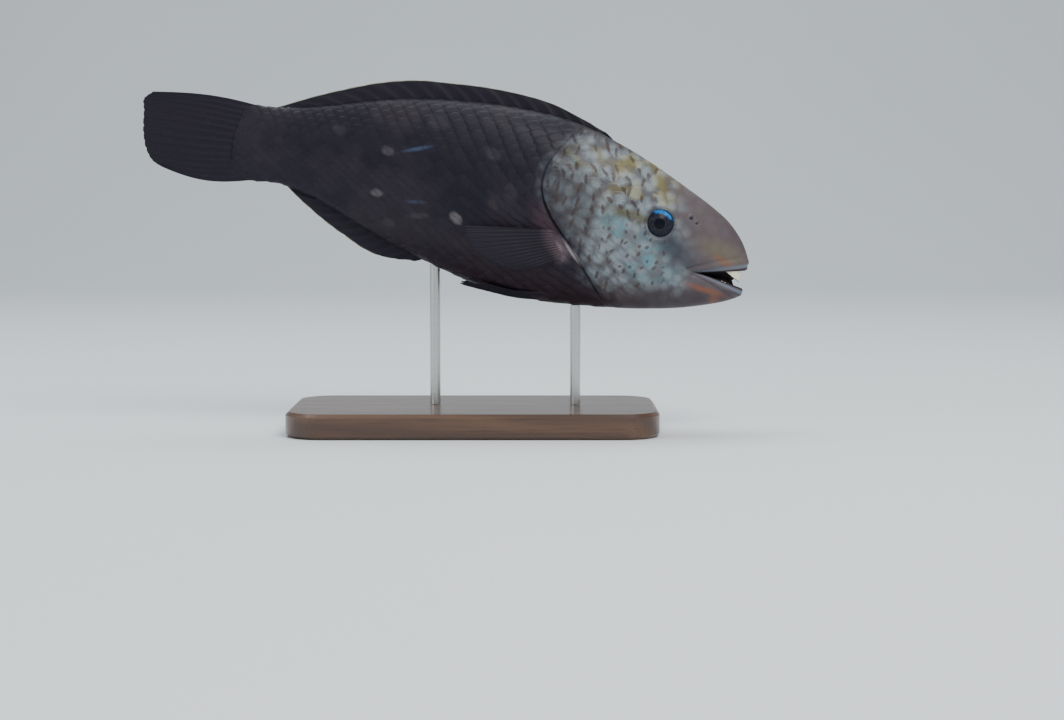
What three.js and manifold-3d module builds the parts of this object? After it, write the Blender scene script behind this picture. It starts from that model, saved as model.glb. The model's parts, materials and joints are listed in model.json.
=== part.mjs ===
// A parrotfish gliding nose down, as a life-size still model on a plain stand.
// Lengths are millimetres. The fish is drawn straight and level in its own frame first: the snout
// tip is the origin, the body runs towards -X, +Z is up and +Y is the fish's left. It is then
// given its pose (nose down, tail swung a little to the left) and set above the stand.
import * as THREE from "three";
import { mergeVertices } from "three/addons/utils/BufferGeometryUtils.js";
import Module from "manifold-3d";

// Driving dimensions.
const TOTAL_LENGTH = 300; // snout to the end of the closed tail fin
const MM = TOTAL_LENGTH / 300; // the sizes below were worked out on a 300 mm fish
const GAP = 0.3 * MM; // air kept between pieces that meet
const NOSE_DOWN = THREE.MathUtils.degToRad(14.5);
const TAIL_SWAY = 9 * MM; // how far the tail's end swings to the left
const SWAY_FROM = 95 * MM; // the body is straight ahead of this distance behind the snout
const BELLY_CLEARANCE = 46 * MM; // air between the stand's top and the lowest of the belly

const EYE = { back: 47.8 * MM, up: 9 * MM, out: 12 * MM, radius: 7.2 * MM, depth: 4.6 * MM };
const EYE_FACETS = 20;
const NOSTRILS = [
  { back: 33.4 * MM, up: 15.2 * MM, radius: 0.75 * MM },
  { back: 30.2 * MM, up: 13.4 * MM, radius: 0.6 * MM },
];
const GILL_LIFT = 1.2 * MM; // how far the gill cover's edge stands out over the shoulder
const GILL_PLATE = 3 * MM; // thickness of the gill cover
const TONGUE = 5.6 * MM; // how far the tongue's tip stands ahead of the middle of the first ring
const TAIL_END = 1 * MM; // how far the skin ends behind its last ring, inside the tail fin
const TAIL_CUT = 227 * MM; // where the trunk hands over to the tail's root
const FIN_TIP = 0.75 * MM; // thickness of a fin over the end of a ray
const FIN_WEB = 0.55 * MM; // thickness of a fin's membrane at its edge
const FIN_ROOT_DEPTH = 3.6 * MM; // how far the rays of the back and belly start inside the flesh

// Rings of the skin, from the tongue in the open mouth to the tail's root. Each has its top, side and bottom
// point as [behind the snout, above the axis], and its half width at the side point.
// The rings of the snout are bent back at the sides, so that they run along the lips.
const RINGS = [
  { name: "tongue", top: [6.2, -6.2], side: [19.5, -9.4], bottom: [6.2, -8.6], half: 2.2 },
  { name: "palate", top: [5.5, -4.4], side: [21, -9.3], bottom: [5.2, -10.2], half: 4.4 },
  { name: "inner lip", top: [3.6, -3], side: [22.4, -9.1], bottom: [3.2, -12.4], half: 6.2 },
  { name: "lip edge", top: [0.9, -2.4], side: [23.4, -9.0], bottom: [0.7, -11.2], half: 7.5 },
  { name: "lip", top: [0.4, 0.1], side: [25.2, -9.3], bottom: [-0.3, -13.2], half: 8.8 },
  { name: "lip fold", top: [1.7, 3.9], side: [28, -9], bottom: [1.9, -16.1], half: 9.9 },
  { name: "snout", top: [6.9, 11.2], side: [32.5, -7.4], bottom: [8.7, -20.2], half: 11.4 },
  { name: "brow", top: [15.2, 18.2], side: [37.8, -4.6], bottom: [19, -24.7], half: 13 },
  { name: "nostrils", top: [26, 23.7], side: [43.5, -1.6], bottom: [31, -29.1], half: 14.4 },
  { name: "eye", top: [40, 29.3], side: [52, 0.8], bottom: [44, -32.8], half: 16 },
  { name: "cheek", top: [54.5, 34.8], side: [63, 2], bottom: [57, -35.7], half: 17.6 },
  { name: "nape", top: [70.5, 40.1], side: [76, 2.5], bottom: [72, -38.5], half: 19.1 },
  { name: "shoulder", top: [88, 44.4], side: [91, 2.5], bottom: [89, -41.1], half: 20 },
  { name: "breast", top: [108, 46.4], side: [108.5, 2], bottom: [108, -42.3], half: 20 },
  { name: "belly", top: [130, 45.4], side: [130, 2], bottom: [130, -40.7], half: 19 },
  { name: "vent", top: [152, 42.5], side: [152, 2], bottom: [152, -36.6], half: 16.9 },
  { name: "flank", top: [174, 38], side: [174, 1.6], bottom: [174, -32], half: 13.9 },
  { name: "hind flank", top: [194, 31.8], side: [194, 1], bottom: [194, -25.8], half: 10.9 },
  { name: "last rays", top: [212, 25], side: [212, 0.4], bottom: [212, -20.6], half: 8.4 },
  { name: "tail root", top: [228, 19.6], side: [228, -0.4], bottom: [228, -18.6], half: 6.6 },
  { name: "narrowest", top: [240, 16.7], side: [240, -1.2], bottom: [239.5, -20.3], half: 5 },
  { name: "fin base", top: [247, 15.8], side: [247.5, -1.8], bottom: [246.5, -21.2], half: 3.7 },
  { name: "fin fold", top: [253, 15.2], side: [255, -2.4], bottom: [252.5, -21.9], half: 2.2 },
];
// Mesh steps from each ring to the next: close at the lips, wide along the trunk.
const RING_STEPS = [1, 1, 2, 1, 2, 2, 2, 2, 2, 3, 3, 3, 3, 2, 2, 2, 2, 2, 2, 1, 1, 1];
const GIRTH_STEPS = 36;

// The edge of the gill opening in side view, from the nape to the throat.
const GILL_EDGE = [
  [86, 54], [99, 36], [105.5, 22], [105, 10], [97.5, -1], [87.5, -10], [77.5, -20], [68, -29.5],
  [56, -42],
];
// The ridge where the cheek ends and the gill cover begins, from top to bottom.
const CHEEK_EDGE = [
  [97, 28], [90.5, 24], [86.5, 15], [83.5, 4], [79, -6], [72, -15.5], [63.5, -24], [60, -30],
];
const COVER_REAR = 120; // anywhere behind the gill opening
// The top of the lower jaw in side view: through the open mouth, then down behind its corner.
const JAW_EDGE = [
  [-8, -5], [3, -5.6], [11, -6.5], [17, -8.1], [23.2, -9.3], [26.6, -14.5], [28.4, -22], [29, -29],
  [29, -40],
];
const CURVE_STEPS = 3; // mesh steps from each point of these curves to the next

const wasm = await Module();
wasm.setup();

// A point of the fish's own frame, from how far behind the snout, how far left and how far up.
const place = (back, left, up) => new THREE.Vector3(-back, left, up);
const clamp01 = (x) => Math.min(1, Math.max(0, x));
const smooth = (x) => clamp01(x) ** 2 * (3 - 2 * clamp01(x));
const mix = (a, b, t) => a + (b - a) * t;

// Value at position t (in list steps) of a curve that passes through every number in the list.
function through(values, t) {
  const last = values.length - 1;
  const i = Math.min(last - 1, Math.max(0, Math.floor(t)));
  const f = t - i;
  const p1 = values[i];
  const p2 = values[i + 1];
  const p0 = i > 0 ? values[i - 1] : 2 * p1 - p2;
  const p3 = i < last - 1 ? values[i + 2] : 2 * p2 - p1;
  const slope = p2 - p0;
  const bend = 2 * p0 - 5 * p1 + 4 * p2 - p3;
  const twist = 3 * p1 - p0 - 3 * p2 + p3;
  return p1 + 0.5 * (slope * f + bend * f ** 2 + twist * f ** 3);
}

// A smooth curve in side view through every point of the list.
function smoothCurve(points) {
  const backs = points.map((p) => p[0]);
  const ups = points.map((p) => p[1]);
  const count = (points.length - 1) * CURVE_STEPS;
  const pointAt = (t) => [through(backs, t), through(ups, t)];
  return Array.from({ length: count + 1 }, (_, i) => pointAt(i / CURVE_STEPS));
}
const gillEdge = smoothCurve(GILL_EDGE);
const cheekEdge = smoothCurve(CHEEK_EDGE);
const jawEdge = smoothCurve(JAW_EDGE);

const ringValues = {
  topBack: RINGS.map((r) => r.top[0] * MM),
  topUp: RINGS.map((r) => r.top[1] * MM),
  sideBack: RINGS.map((r) => r.side[0] * MM),
  sideUp: RINGS.map((r) => r.side[1] * MM),
  bottomBack: RINGS.map((r) => r.bottom[0] * MM),
  bottomUp: RINGS.map((r) => r.bottom[1] * MM),
  half: RINGS.map((r) => r.half * MM),
};

// A point of the skin at ring position t and angle phi round the body (0 is the top of the back).
function ringPoint(t, phi) {
  const at = (name) => through(ringValues[name], t);
  const c = Math.cos(phi);
  const s = Math.sin(phi);
  const end = c >= 0 ? "top" : "bottom";
  const share = Math.abs(c);
  const back = mix(at("sideBack"), at(end + "Back"), share);
  const up = mix(at("sideUp"), at(end + "Up"), share);
  return place(back, at("half") * s, up);
}

function ringNormal(t, phi) {
  const d = 1e-3;
  const t0 = Math.max(0, t - d);
  const t1 = Math.min(RINGS.length - 1, t + d);
  const alongBody = ringPoint(t1, phi).sub(ringPoint(t0, phi));
  const roundBody = ringPoint(t, phi + d).sub(ringPoint(t, phi - d));
  return roundBody.cross(alongBody).normalize();
}

// Distance in side view from a point to a curve given by a list of [back, up] points.
// It is positive ahead of the curve and negative behind it.
function aheadOf(curve, back, up) {
  let nearest = Infinity;
  let sign = 1;
  for (let i = 0; i + 1 < curve.length; i += 1) {
    const [b0, u0] = curve[i].map((v) => v * MM);
    const [b1, u1] = curve[i + 1].map((v) => v * MM);
    const [db, du] = [b1 - b0, u1 - u0];
    const f = clamp01(((back - b0) * db + (up - u0) * du) / (db ** 2 + du ** 2));
    const distance = Math.hypot(back - mix(b0, b1, f), up - mix(u0, u1, f));
    if (distance < nearest) {
      nearest = distance;
      sign = Math.sign(db * (up - u0) - du * (back - b0)) || 1;
    }
  }
  return -sign * nearest;
}

// How far the skin of the head stands out from its rings: the gill cover lifts towards its edge,
// a shallow furrow follows the cheek's end, and the skin dips round the eye.
function headRelief(point) {
  const back = -point.x;
  const up = point.z;
  const toGill = aheadOf(gillEdge, back, up);
  const onCover = smooth((up + 36 * MM) / (9 * MM)) * smooth((24 * MM - up) / (9 * MM));
  const lift = GILL_LIFT * smooth(1 - toGill / (26 * MM)) * onCover;
  const furrow = -0.5 * MM * smooth(1 - Math.abs(aheadOf(cheekEdge, back, up)) / (3 * MM));
  const fromEye = Math.hypot(back - EYE.back, up - EYE.up);
  const orbit = -0.9 * MM * smooth(1 - (fromEye - 5.5 * MM) / (4.5 * MM));
  return lift + furrow + orbit;
}

// The skin as a closed mesh, moved out by grow along its normals, with relief added on the head.
function bodyGeometry(grow, relief) {
  const stops = [0];
  RING_STEPS.forEach((steps, i) => {
    for (let k = 1; k <= steps; k += 1) stops.push(i + k / steps);
  });
  const vertices = [];
  const rows = stops.length;
  for (const t of stops) {
    const behind = place(t === RINGS.length - 1 ? grow : 0, 0, 0); // the last ring moves back as well
    for (let j = 0; j < GIRTH_STEPS; j += 1) {
      const phi = (j / GIRTH_STEPS) * 2 * Math.PI;
      const point = ringPoint(t, phi);
      const out = grow + (relief ? relief(point) : 0);
      vertices.push(point.addScaledVector(ringNormal(t, phi), out).add(behind));
    }
  }
  const faces = [];
  for (let i = 0; i + 1 < rows; i += 1) {
    for (let j = 0; j < GIRTH_STEPS; j += 1) {
      const a = i * GIRTH_STEPS + j;
      const b = i * GIRTH_STEPS + ((j + 1) % GIRTH_STEPS);
      faces.push([a, b, a + GIRTH_STEPS], [b, b + GIRTH_STEPS, a + GIRTH_STEPS]);
    }
  }
  const closeWith = (row, tipBack, flip) => {
    const ring = vertices.slice(row * GIRTH_STEPS, (row + 1) * GIRTH_STEPS);
    const middle = ring.reduce((sum, v) => sum.add(v), new THREE.Vector3()).divideScalar(GIRTH_STEPS);
    const tip = vertices.push(middle.add(place(tipBack, 0, 0))) - 1;
    for (let j = 0; j < GIRTH_STEPS; j += 1) {
      const a = row * GIRTH_STEPS + j;
      const b = row * GIRTH_STEPS + ((j + 1) % GIRTH_STEPS);
      faces.push(flip ? [a, b, tip] : [b, a, tip]);
    }
  };
  closeWith(0, -TONGUE, false);
  closeWith(rows - 1, TAIL_END + grow, true);
  return indexed(vertices, faces);
}

function indexed(vertices, faces) {
  const geometry = new THREE.BufferGeometry();
  const numbers = vertices.flatMap((v) => [v.x, v.y, v.z]);
  geometry.setAttribute("position", new THREE.Float32BufferAttribute(numbers, 3));
  geometry.setIndex(faces.flat());
  return geometry;
}

// Turns a closed geometry into a solid that can be joined and cut.
function solidOf(geometry) {
  const bare = new THREE.BufferGeometry();
  bare.setAttribute("position", geometry.getAttribute("position"));
  if (geometry.index) bare.setIndex(geometry.index);
  const merged = mergeVertices(bare, 1e-4);
  return new wasm.Manifold(
    new wasm.Mesh({
      numProp: 3,
      vertProperties: new Float32Array(merged.attributes.position.array),
      triVerts: new Uint32Array(merged.index.array),
    }),
  );
}

// The largest closed body of a solid.
function largestOf(solid) {
  const bodies = solid.decompose();
  return bodies.reduce((best, body) => (body.volume() > best.volume() ? body : best));
}

function geometryOf(solid) {
  const mesh = largestOf(solid).getMesh();
  const positions = new Float32Array(mesh.numVert * 3);
  for (let i = 0; i < mesh.numVert; i += 1) {
    positions.set(mesh.vertProperties.subarray(i * mesh.numProp, i * mesh.numProp + 3), i * 3);
  }
  const geometry = new THREE.BufferGeometry();
  geometry.setAttribute("position", new THREE.BufferAttribute(positions, 3));
  geometry.setIndex(new THREE.BufferAttribute(new Uint32Array(mesh.triVerts), 1));
  return geometry;
}

// A block cut to an outline in side view, from one distance left of the middle to another.
function sideBlock(outline, fromLeft, toLeft) {
  const shape = new THREE.Shape(outline.map(([back, up]) => new THREE.Vector2(-back * MM, up * MM)));
  const block = new THREE.ExtrudeGeometry(shape, { depth: toLeft - fromLeft, bevelEnabled: false });
  block.rotateX(Math.PI / 2);
  block.translate(0, toLeft, 0);
  return solidOf(block);
}

// The same outline with every point moved by the given amounts.
const shifted = (outline, back, up = 0) => outline.map(([b, u]) => [b + back / MM, u + up / MM]);

function ellipsoid(centre, radii, across, down) {
  const ball = new THREE.SphereGeometry(1, across, down);
  ball.rotateX(Math.PI / 2);
  ball.scale(radii.x, radii.y, radii.z);
  ball.translate(centre.x, centre.y, centre.z);
  return solidOf(ball);
}

// A thin sheet with ridges on both faces, such as a fin: root(v) and tip(v) are its two long
// edges, v runs across it from 0 to 1, and ridges run from root to tip.
// slim says how much thinner the root is at its two ends than in its middle.
// Both faces are split into triangles alike, so the faces of a curved sheet never cross.
function ridgedSheet({ ridges, rows, root, tip, bow, ridge, web, notch = 0, slim = 0 }) {
  const columns = 2 * ridges - 1;
  const middle = [];
  for (let c = 0; c < columns; c += 1) {
    const v = c / (columns - 1);
    const onRidge = c % 2 === 0;
    const reach = onRidge ? 1 : 1 - notch;
    const stem = 1 - slim * Math.abs(2 * v - 1) ** 4;
    const [thickRoot, thickTip] = onRidge ? ridge : web;
    for (let r = 0; r <= rows; r += 1) {
      const w = (r / rows) * reach;
      const point = root(v).lerp(tip(v), w);
      if (bow) point.add(bow(v, w));
      middle.push({ point, thick: mix(thickRoot * stem, thickTip, w) });
    }
  }
  const within = (i, last) => Math.min(last, Math.max(0, i));
  const at = (c, r) => within(c, columns - 1) * (rows + 1) + within(r, rows);
  const vertices = [];
  for (let c = 0; c < columns; c += 1) {
    for (let r = 0; r <= rows; r += 1) {
      const across = middle[at(c + 1, r)].point.clone().sub(middle[at(c - 1, r)].point);
      const along = middle[at(c, r + 1)].point.clone().sub(middle[at(c, r - 1)].point);
      const normal = across.cross(along).normalize();
      const { point, thick } = middle[at(c, r)];
      vertices.push(point.clone().addScaledVector(normal, thick / 2));
      vertices.push(point.clone().addScaledVector(normal, -thick / 2));
    }
  }
  const faces = [];
  const quad = (a, b, c, d) => faces.push([a, b, c], [a, c, d]);
  for (let c = 0; c + 1 < columns; c += 1) {
    for (let r = 0; r < rows; r += 1) {
      const [a, b, d, e] = [at(c, r), at(c + 1, r), at(c, r + 1), at(c + 1, r + 1)].map((i) => 2 * i);
      faces.push([a, b, e], [a, e, d]);
      faces.push([a + 1, e + 1, b + 1], [a + 1, d + 1, e + 1]);
    }
  }
  for (let c = 0; c + 1 < columns; c += 1) {
    const [a, b] = [at(c, 0), at(c + 1, 0)].map((i) => 2 * i);
    quad(a + 1, b + 1, b, a);
    const [d, e] = [at(c, rows), at(c + 1, rows)].map((i) => 2 * i);
    quad(d, e, e + 1, d + 1);
  }
  for (let r = 0; r < rows; r += 1) {
    const [a, d] = [at(0, r), at(0, r + 1)].map((i) => 2 * i);
    quad(a, d, d + 1, a + 1);
    const [b, e] = [at(columns - 1, r), at(columns - 1, r + 1)].map((i) => 2 * i);
    quad(b + 1, e + 1, e, b);
  }
  return solidOf(indexed(vertices, faces));
}

// Height of the back or belly at a distance behind the snout.
function outlineUp(edge, back) {
  const backs = ringValues[edge + "Back"];
  const ups = ringValues[edge + "Up"];
  let low = 4;
  let high = RINGS.length - 1;
  for (let k = 0; k < 40; k += 1) {
    const t = (low + high) / 2;
    if (through(backs, t) < back) low = t;
    else high = t;
  }
  return through(ups, low);
}

const body = solidOf(bodyGeometry(0));
const headBody = solidOf(bodyGeometry(0, headRelief));
const farLeft = 60 * MM; // anywhere outside the fish's flank

// Everything ahead of the gill opening, moved back by the given amount.
const aheadOfGills = (back) =>
  sideBlock([...shifted(gillEdge, back), [-20, -60], [-20, 60]], -farLeft, farLeft);

// The fish without its fins and with the gap all round: fins and beak plates are cut to it.
const keepOut = solidOf(bodyGeometry(GAP)).add(
  solidOf(bodyGeometry(GAP, headRelief)).intersect(aheadOfGills(GAP)),
);

// The gill cover's outline: the cheek's edge, moved ahead by the given amount, then back past
// the gill opening.
const coverOutline = (ahead) => {
  const edge = shifted(cheekEdge, -ahead);
  const [, top] = edge[0];
  const [, bottom] = edge[edge.length - 1];
  return [[COVER_REAR, top + ahead / MM], ...edge.map(([b, u], i) => (i ? [b, u] : [b, u + ahead / MM])),
    [COVER_REAR, bottom]];
};

// The lower jaw, with the lower lip.
function lowerJaw() {
  return headBody.intersect(sideBlock([...jawEdge, [-20, -40], [-20, -5]], -farLeft, farLeft));
}

// A gill cover: a plate cut from the side of the head, hinged at the cheek's edge.
function gillCover(side) {
  const core = solidOf(bodyGeometry(-GILL_PLATE));
  const half = side > 0 ? [6 * MM, farLeft] : [-farLeft, -6 * MM];
  const cover = sideBlock(coverOutline(0), ...half);
  return headBody.subtract(core).intersect(cover).intersect(aheadOfGills(0));
}

// The head, with hollows for the eyes, nostrils and gill covers, parted from the lower jaw.
function head() {
  const jawSpace = [...shifted(jawEdge, GAP, GAP), [-20, -40], [-20, -4.7]];
  let solid = headBody.intersect(aheadOfGills(0)).subtract(sideBlock(jawSpace, -farLeft, farLeft));
  const core = solidOf(bodyGeometry(-GILL_PLATE - GAP));
  const covers = sideBlock(coverOutline(GAP), -farLeft, farLeft);
  solid = solid.subtract(covers.subtract(core));
  for (const side of [-1, 1]) {
    solid = solid.subtract(eye(side, GAP));
    for (const { back, up, radius: r } of NOSTRILS) {
      const centre = place(back, side * flankOut(back, up), up);
      solid = solid.subtract(ellipsoid(centre, { x: r, y: 1.6 * MM, z: 0.8 * r }, 8, 6));
    }
  }
  return solid;
}

// Half width of the head's skin at a place in side view, found by walking the rings.
function flankOut(back, up) {
  let best = { distance: Infinity, out: 0 };
  for (let t = 4; t < RINGS.length - 1; t += 0.05) {
    for (let phi = 0.05; phi < Math.PI; phi += 0.03) {
      const p = ringPoint(t, phi);
      const distance = Math.hypot(-p.x - back, p.z - up);
      if (distance < best.distance) best = { distance, out: p.y };
    }
  }
  return best.out;
}

// The trunk, from the shoulder to the tail's root.
function trunk() {
  const cut = TAIL_CUT / MM;
  const rest = sideBlock([[30, -70], [cut, -70], [cut, 70], [30, 70]], -farLeft, farLeft);
  return body.intersect(rest).subtract(aheadOfGills(GAP));
}

// The tail's root: the narrow length of flesh that carries the tail fin.
function tailRoot() {
  const from = (TAIL_CUT + GAP) / MM;
  return body.intersect(sideBlock([[from, -70], [300, -70], [300, 70], [from, 70]], -farLeft, farLeft));
}

// An eye, or with grow its socket: a ball flattened from side to side.
function eye(side, grow = 0) {
  const centre = place(EYE.back, side * EYE.out, EYE.up);
  const radius = EYE.radius + grow;
  return ellipsoid(centre, { x: radius, y: EYE.depth + grow, z: radius }, EYE_FACETS, EYE_FACETS / 2);
}

// Half of the beak: a curved plate of fused teeth round the front of a jaw.
// front is where its face is ahead, edge and root are heights at the front and at the rear ends.
function beakPlate({ front, halfWidth, length, root, edge, thick }) {
  const around = (v) => (v - 0.5) * Math.PI;
  const curve = (v, [ahead, behind], lean) => {
    const turn = around(v);
    const rearward = 1 - Math.cos(turn);
    const up = mix(ahead, behind, rearward);
    return place(front + lean + length * rearward, halfWidth * Math.sin(turn), up);
  };
  return ridgedSheet({
    ridges: 8,
    rows: 4,
    root: (v) => curve(v, root, 1.0 * MM),
    tip: (v) => curve(v, edge, 0),
    bow: null,
    ridge: [thick, 0.9 * MM],
    web: [thick * 0.94, 0.8 * MM],
  }).subtract(keepOut);
}

const upperBeak = () =>
  beakPlate({
    front: 2.8 * MM, halfWidth: 5.2 * MM, length: 9 * MM,
    root: [3 * MM, -2.2 * MM], edge: [-8.7 * MM, -4.8 * MM], thick: 1.9 * MM,
  });

const lowerBeak = () =>
  beakPlate({
    front: 2.9 * MM, halfWidth: 5.5 * MM, length: 8.6 * MM,
    root: [-16 * MM, -12.5 * MM], edge: [-11.4 * MM, -10.1 * MM], thick: 1.6 * MM,
  });

// A fin folded low along the back or the belly: its rays start in the flesh and lie well back.
// heights are its heights over the skin at equal steps from the first ray's tip to the last one's.
function foldedFin({ edge, rootFrom, rootTo, tipFrom, tipTo, heights, ridges, stem }) {
  const away = edge === "top" ? 1 : -1;
  return ridgedSheet({
    ridges,
    rows: 4,
    root: (v) => {
      const back = mix(rootFrom, rootTo, v);
      return place(back, 0, outlineUp(edge, back) - away * FIN_ROOT_DEPTH);
    },
    tip: (v) => {
      const back = mix(tipFrom, tipTo, v);
      const height = through(heights, v * (heights.length - 1)) * MM;
      return place(back, 0, outlineUp(edge, back) + away * height);
    },
    bow: (v, w) => place(0, 0, away * 1.4 * MM * Math.sin(Math.PI * w)),
    ridge: [stem, FIN_TIP],
    web: [0.6 * stem, FIN_WEB],
    notch: 0.02,
  }).subtract(keepOut);
}

const dorsalFin = () =>
  foldedFin({
    edge: "top", ridges: 19, stem: 2.4 * MM,
    rootFrom: 74 * MM, rootTo: 221 * MM, tipFrom: 84 * MM, tipTo: 240 * MM,
    heights: [0.8, 2.6, 4.8, 6.0, 6.8, 7.4, 7.8, 8.6, 8.7, 7.9, 6.4, 3.6, -0.8],
  });

const analFin = () =>
  foldedFin({
    edge: "bottom", ridges: 12, stem: 2 * MM,
    rootFrom: 150 * MM, rootTo: 208 * MM, tipFrom: 158 * MM, tipTo: 227 * MM,
    heights: [2.2, 6.6, 8.6, 8.1, 7, 4, -1.2],
  });

// The tail fin, closed to a paddle, with its upper corner a little longer than the lower one.
function caudalFin() {
  const edge = [
    [286, -24.6], [291.5, -22.8], [296, -17.6], [299.2, -9.4], [301, -1], [302.5, 4.6], [299, 9],
  ];
  const backs = edge.map((p) => p[0] * MM);
  const ups = edge.map((p) => p[1] * MM);
  const along = (values, v) => through(values, v * (values.length - 1));
  return ridgedSheet({
    ridges: 15,
    rows: 6,
    root: (v) => place(241 * MM, 0, mix(-19.8, 15.2, v) * MM),
    tip: (v) => place(along(backs, v), 0, along(ups, v)),
    bow: (v, w) => place(0, 0, mix(-3.6, 2.4, v) * Math.sin(Math.PI * w) * MM),
    ridge: [4.6 * MM, FIN_TIP],
    web: [3.6 * MM, FIN_WEB],
    notch: 0.01,
    slim: 0.72,
  }).subtract(keepOut);
}

// A paired fin spread in a fan from a short base on the flank or breast.
// first and last describe the rays at its two edges: where the ray starts and which way it runs.
// lengths are the rays' lengths at equal steps from the first to the last.
function pairedFin({ side, first, last, lengths, ridges, bow }) {
  const onSide = ([back, left, up]) => place(back, side * left, up);
  const [start, end] = [first, last].map((ray) => onSide(ray.root).multiplyScalar(MM));
  const [ahead, behind] = [first, last].map((ray) => onSide(ray.along));
  const root = (v) => start.clone().lerp(end, v);
  return ridgedSheet({
    ridges,
    rows: 5,
    root,
    tip: (v) => {
      const along = ahead.clone().lerp(behind, v).normalize();
      return root(v).addScaledVector(along, through(lengths, v * (lengths.length - 1)) * MM);
    },
    bow: (v, w) => onSide([0, ...bow]).multiplyScalar(MM * Math.sin(Math.PI * w)),
    ridge: [2 * MM, FIN_TIP],
    web: [1.1 * MM, FIN_WEB],
    notch: 0.03,
  }).subtract(keepOut);
}

// A pectoral fin, swept back and held a little off the flank.
const pectoralFin = (side) =>
  pairedFin({
    side, ridges: 13, bow: [2, 0],
    first: { root: [93, 17.6, -5.5], along: [0.95, 0.2, -0.2] },
    last: { root: [88, 16.6, -17.5], along: [0.8, 0.3, -0.52] },
    lengths: [46, 46, 43, 37, 30, 22],
  });

// A pelvic fin, folded back along the breast: one spine outside and five soft rays.
const pelvicFin = (side) =>
  pairedFin({
    side, ridges: 6, bow: [0, -1.6],
    first: { root: [85, 8.6, -34.6], along: [0.985, 0.05, -0.13] },
    last: { root: [90, 3.4, -38.6], along: [0.985, 0.01, -0.13] },
    lengths: [34, 44, 46, 43, 36, 28],
  });

// The pose: the tail swings to the left along a smooth curve, then the whole fish tips nose down.
const swayAt = (back) => TAIL_SWAY * Math.max(0, (back - SWAY_FROM) / (TOTAL_LENGTH - SWAY_FROM)) ** 2;

function posed(geometry) {
  const position = geometry.getAttribute("position");
  for (let i = 0; i < position.count; i += 1) {
    position.setY(i, position.getY(i) + swayAt(-position.getX(i)));
  }
  geometry.rotateY(NOSE_DOWN);
  return geometry;
}

// Colours of the finishes.
const FINISHES = {
  skin: { color: 0x3a3038, roughness: 0.45, metalness: 0 },
  face: { color: 0x8f8c86, roughness: 0.42, metalness: 0 },
  fin: { color: 0x2c242c, roughness: 0.5, metalness: 0 },
  beak: { color: 0xe8e0cc, roughness: 0.3, metalness: 0 },
  eye: { color: 0x14161c, roughness: 0.1, metalness: 0 },
  wood: { color: 0x4a3222, roughness: 0.4, metalness: 0 },
  steel: { color: 0xb8b8b4, roughness: 0.3, metalness: 1 },
};
const materials = Object.fromEntries(
  Object.entries(FINISHES).map(([name, values]) => [name, new THREE.MeshStandardMaterial(values)]),
);

const fish = new THREE.Group();
function addToFish(name, solid, finish) {
  const mesh = new THREE.Mesh(posed(geometryOf(solid)), materials[finish]);
  mesh.name = name;
  fish.add(mesh);
}

addToFish("head", head(), "face");
addToFish("lower_jaw", lowerJaw(), "face");
addToFish("trunk", trunk(), "skin");
addToFish("tail_root", tailRoot(), "skin");
addToFish("dorsal_fin", dorsalFin(), "fin");
addToFish("anal_fin", analFin(), "fin");
addToFish("caudal_fin", caudalFin(), "fin");
addToFish("beak_upper", upperBeak(), "beak");
addToFish("beak_lower", lowerBeak(), "beak");
for (const [word, side] of [["left", 1], ["right", -1]]) {
  addToFish("gill_cover_" + word, gillCover(side), "face");
  addToFish("eye_" + word, eye(side), "eye");
  addToFish("pectoral_fin_" + word, pectoralFin(side), "fin");
  addToFish("pelvic_fin_" + word, pelvicFin(side), "fin");
}

// The stand: a flat wooden base with two steel rods up to the belly.
const BASE = { length: 176 * MM, width: 88 * MM, thick: 12 * MM, corner: 16 * MM, bevel: 1.6 * MM };
const BASE_AHEAD = 14 * MM; // the base's middle is this far ahead of the fish's, under its weight
const ROD_RADIUS = 2.5 * MM;
const ROD_PLACES = [76 * MM, 146 * MM]; // behind the snout, where each rod meets the belly

const fishBox = new THREE.Box3().setFromObject(fish);
const bellyUp = fishBox.min.z;
fish.position.set(-(fishBox.min.x + fishBox.max.x) / 2, 0, BASE.thick + BELLY_CLEARANCE - bellyUp);

const stand = new THREE.Group();
function addToStand(name, geometry, finish) {
  const mesh = new THREE.Mesh(geometry, materials[finish]);
  mesh.name = name;
  stand.add(mesh);
}

function baseGeometry() {
  const x = BASE.length / 2 - BASE.bevel;
  const y = BASE.width / 2 - BASE.bevel;
  const r = BASE.corner;
  const shape = new THREE.Shape();
  shape.moveTo(-x + r, -y);
  shape.lineTo(x - r, -y);
  shape.absarc(x - r, -y + r, r, -Math.PI / 2, 0, false);
  shape.absarc(x - r, y - r, r, 0, Math.PI / 2, false);
  shape.absarc(-x + r, y - r, r, Math.PI / 2, Math.PI, false);
  shape.absarc(-x + r, -y + r, r, Math.PI, 1.5 * Math.PI, false);
  const geometry = new THREE.ExtrudeGeometry(shape, {
    depth: BASE.thick - 2 * BASE.bevel,
    bevelThickness: BASE.bevel,
    bevelSize: BASE.bevel,
    bevelSegments: 1,
    curveSegments: 6,
  });
  geometry.translate(BASE_AHEAD, 0, BASE.bevel);
  return geometryOf(solidOf(geometry));
}
addToStand("stand_base", baseGeometry(), "wood");

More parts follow.
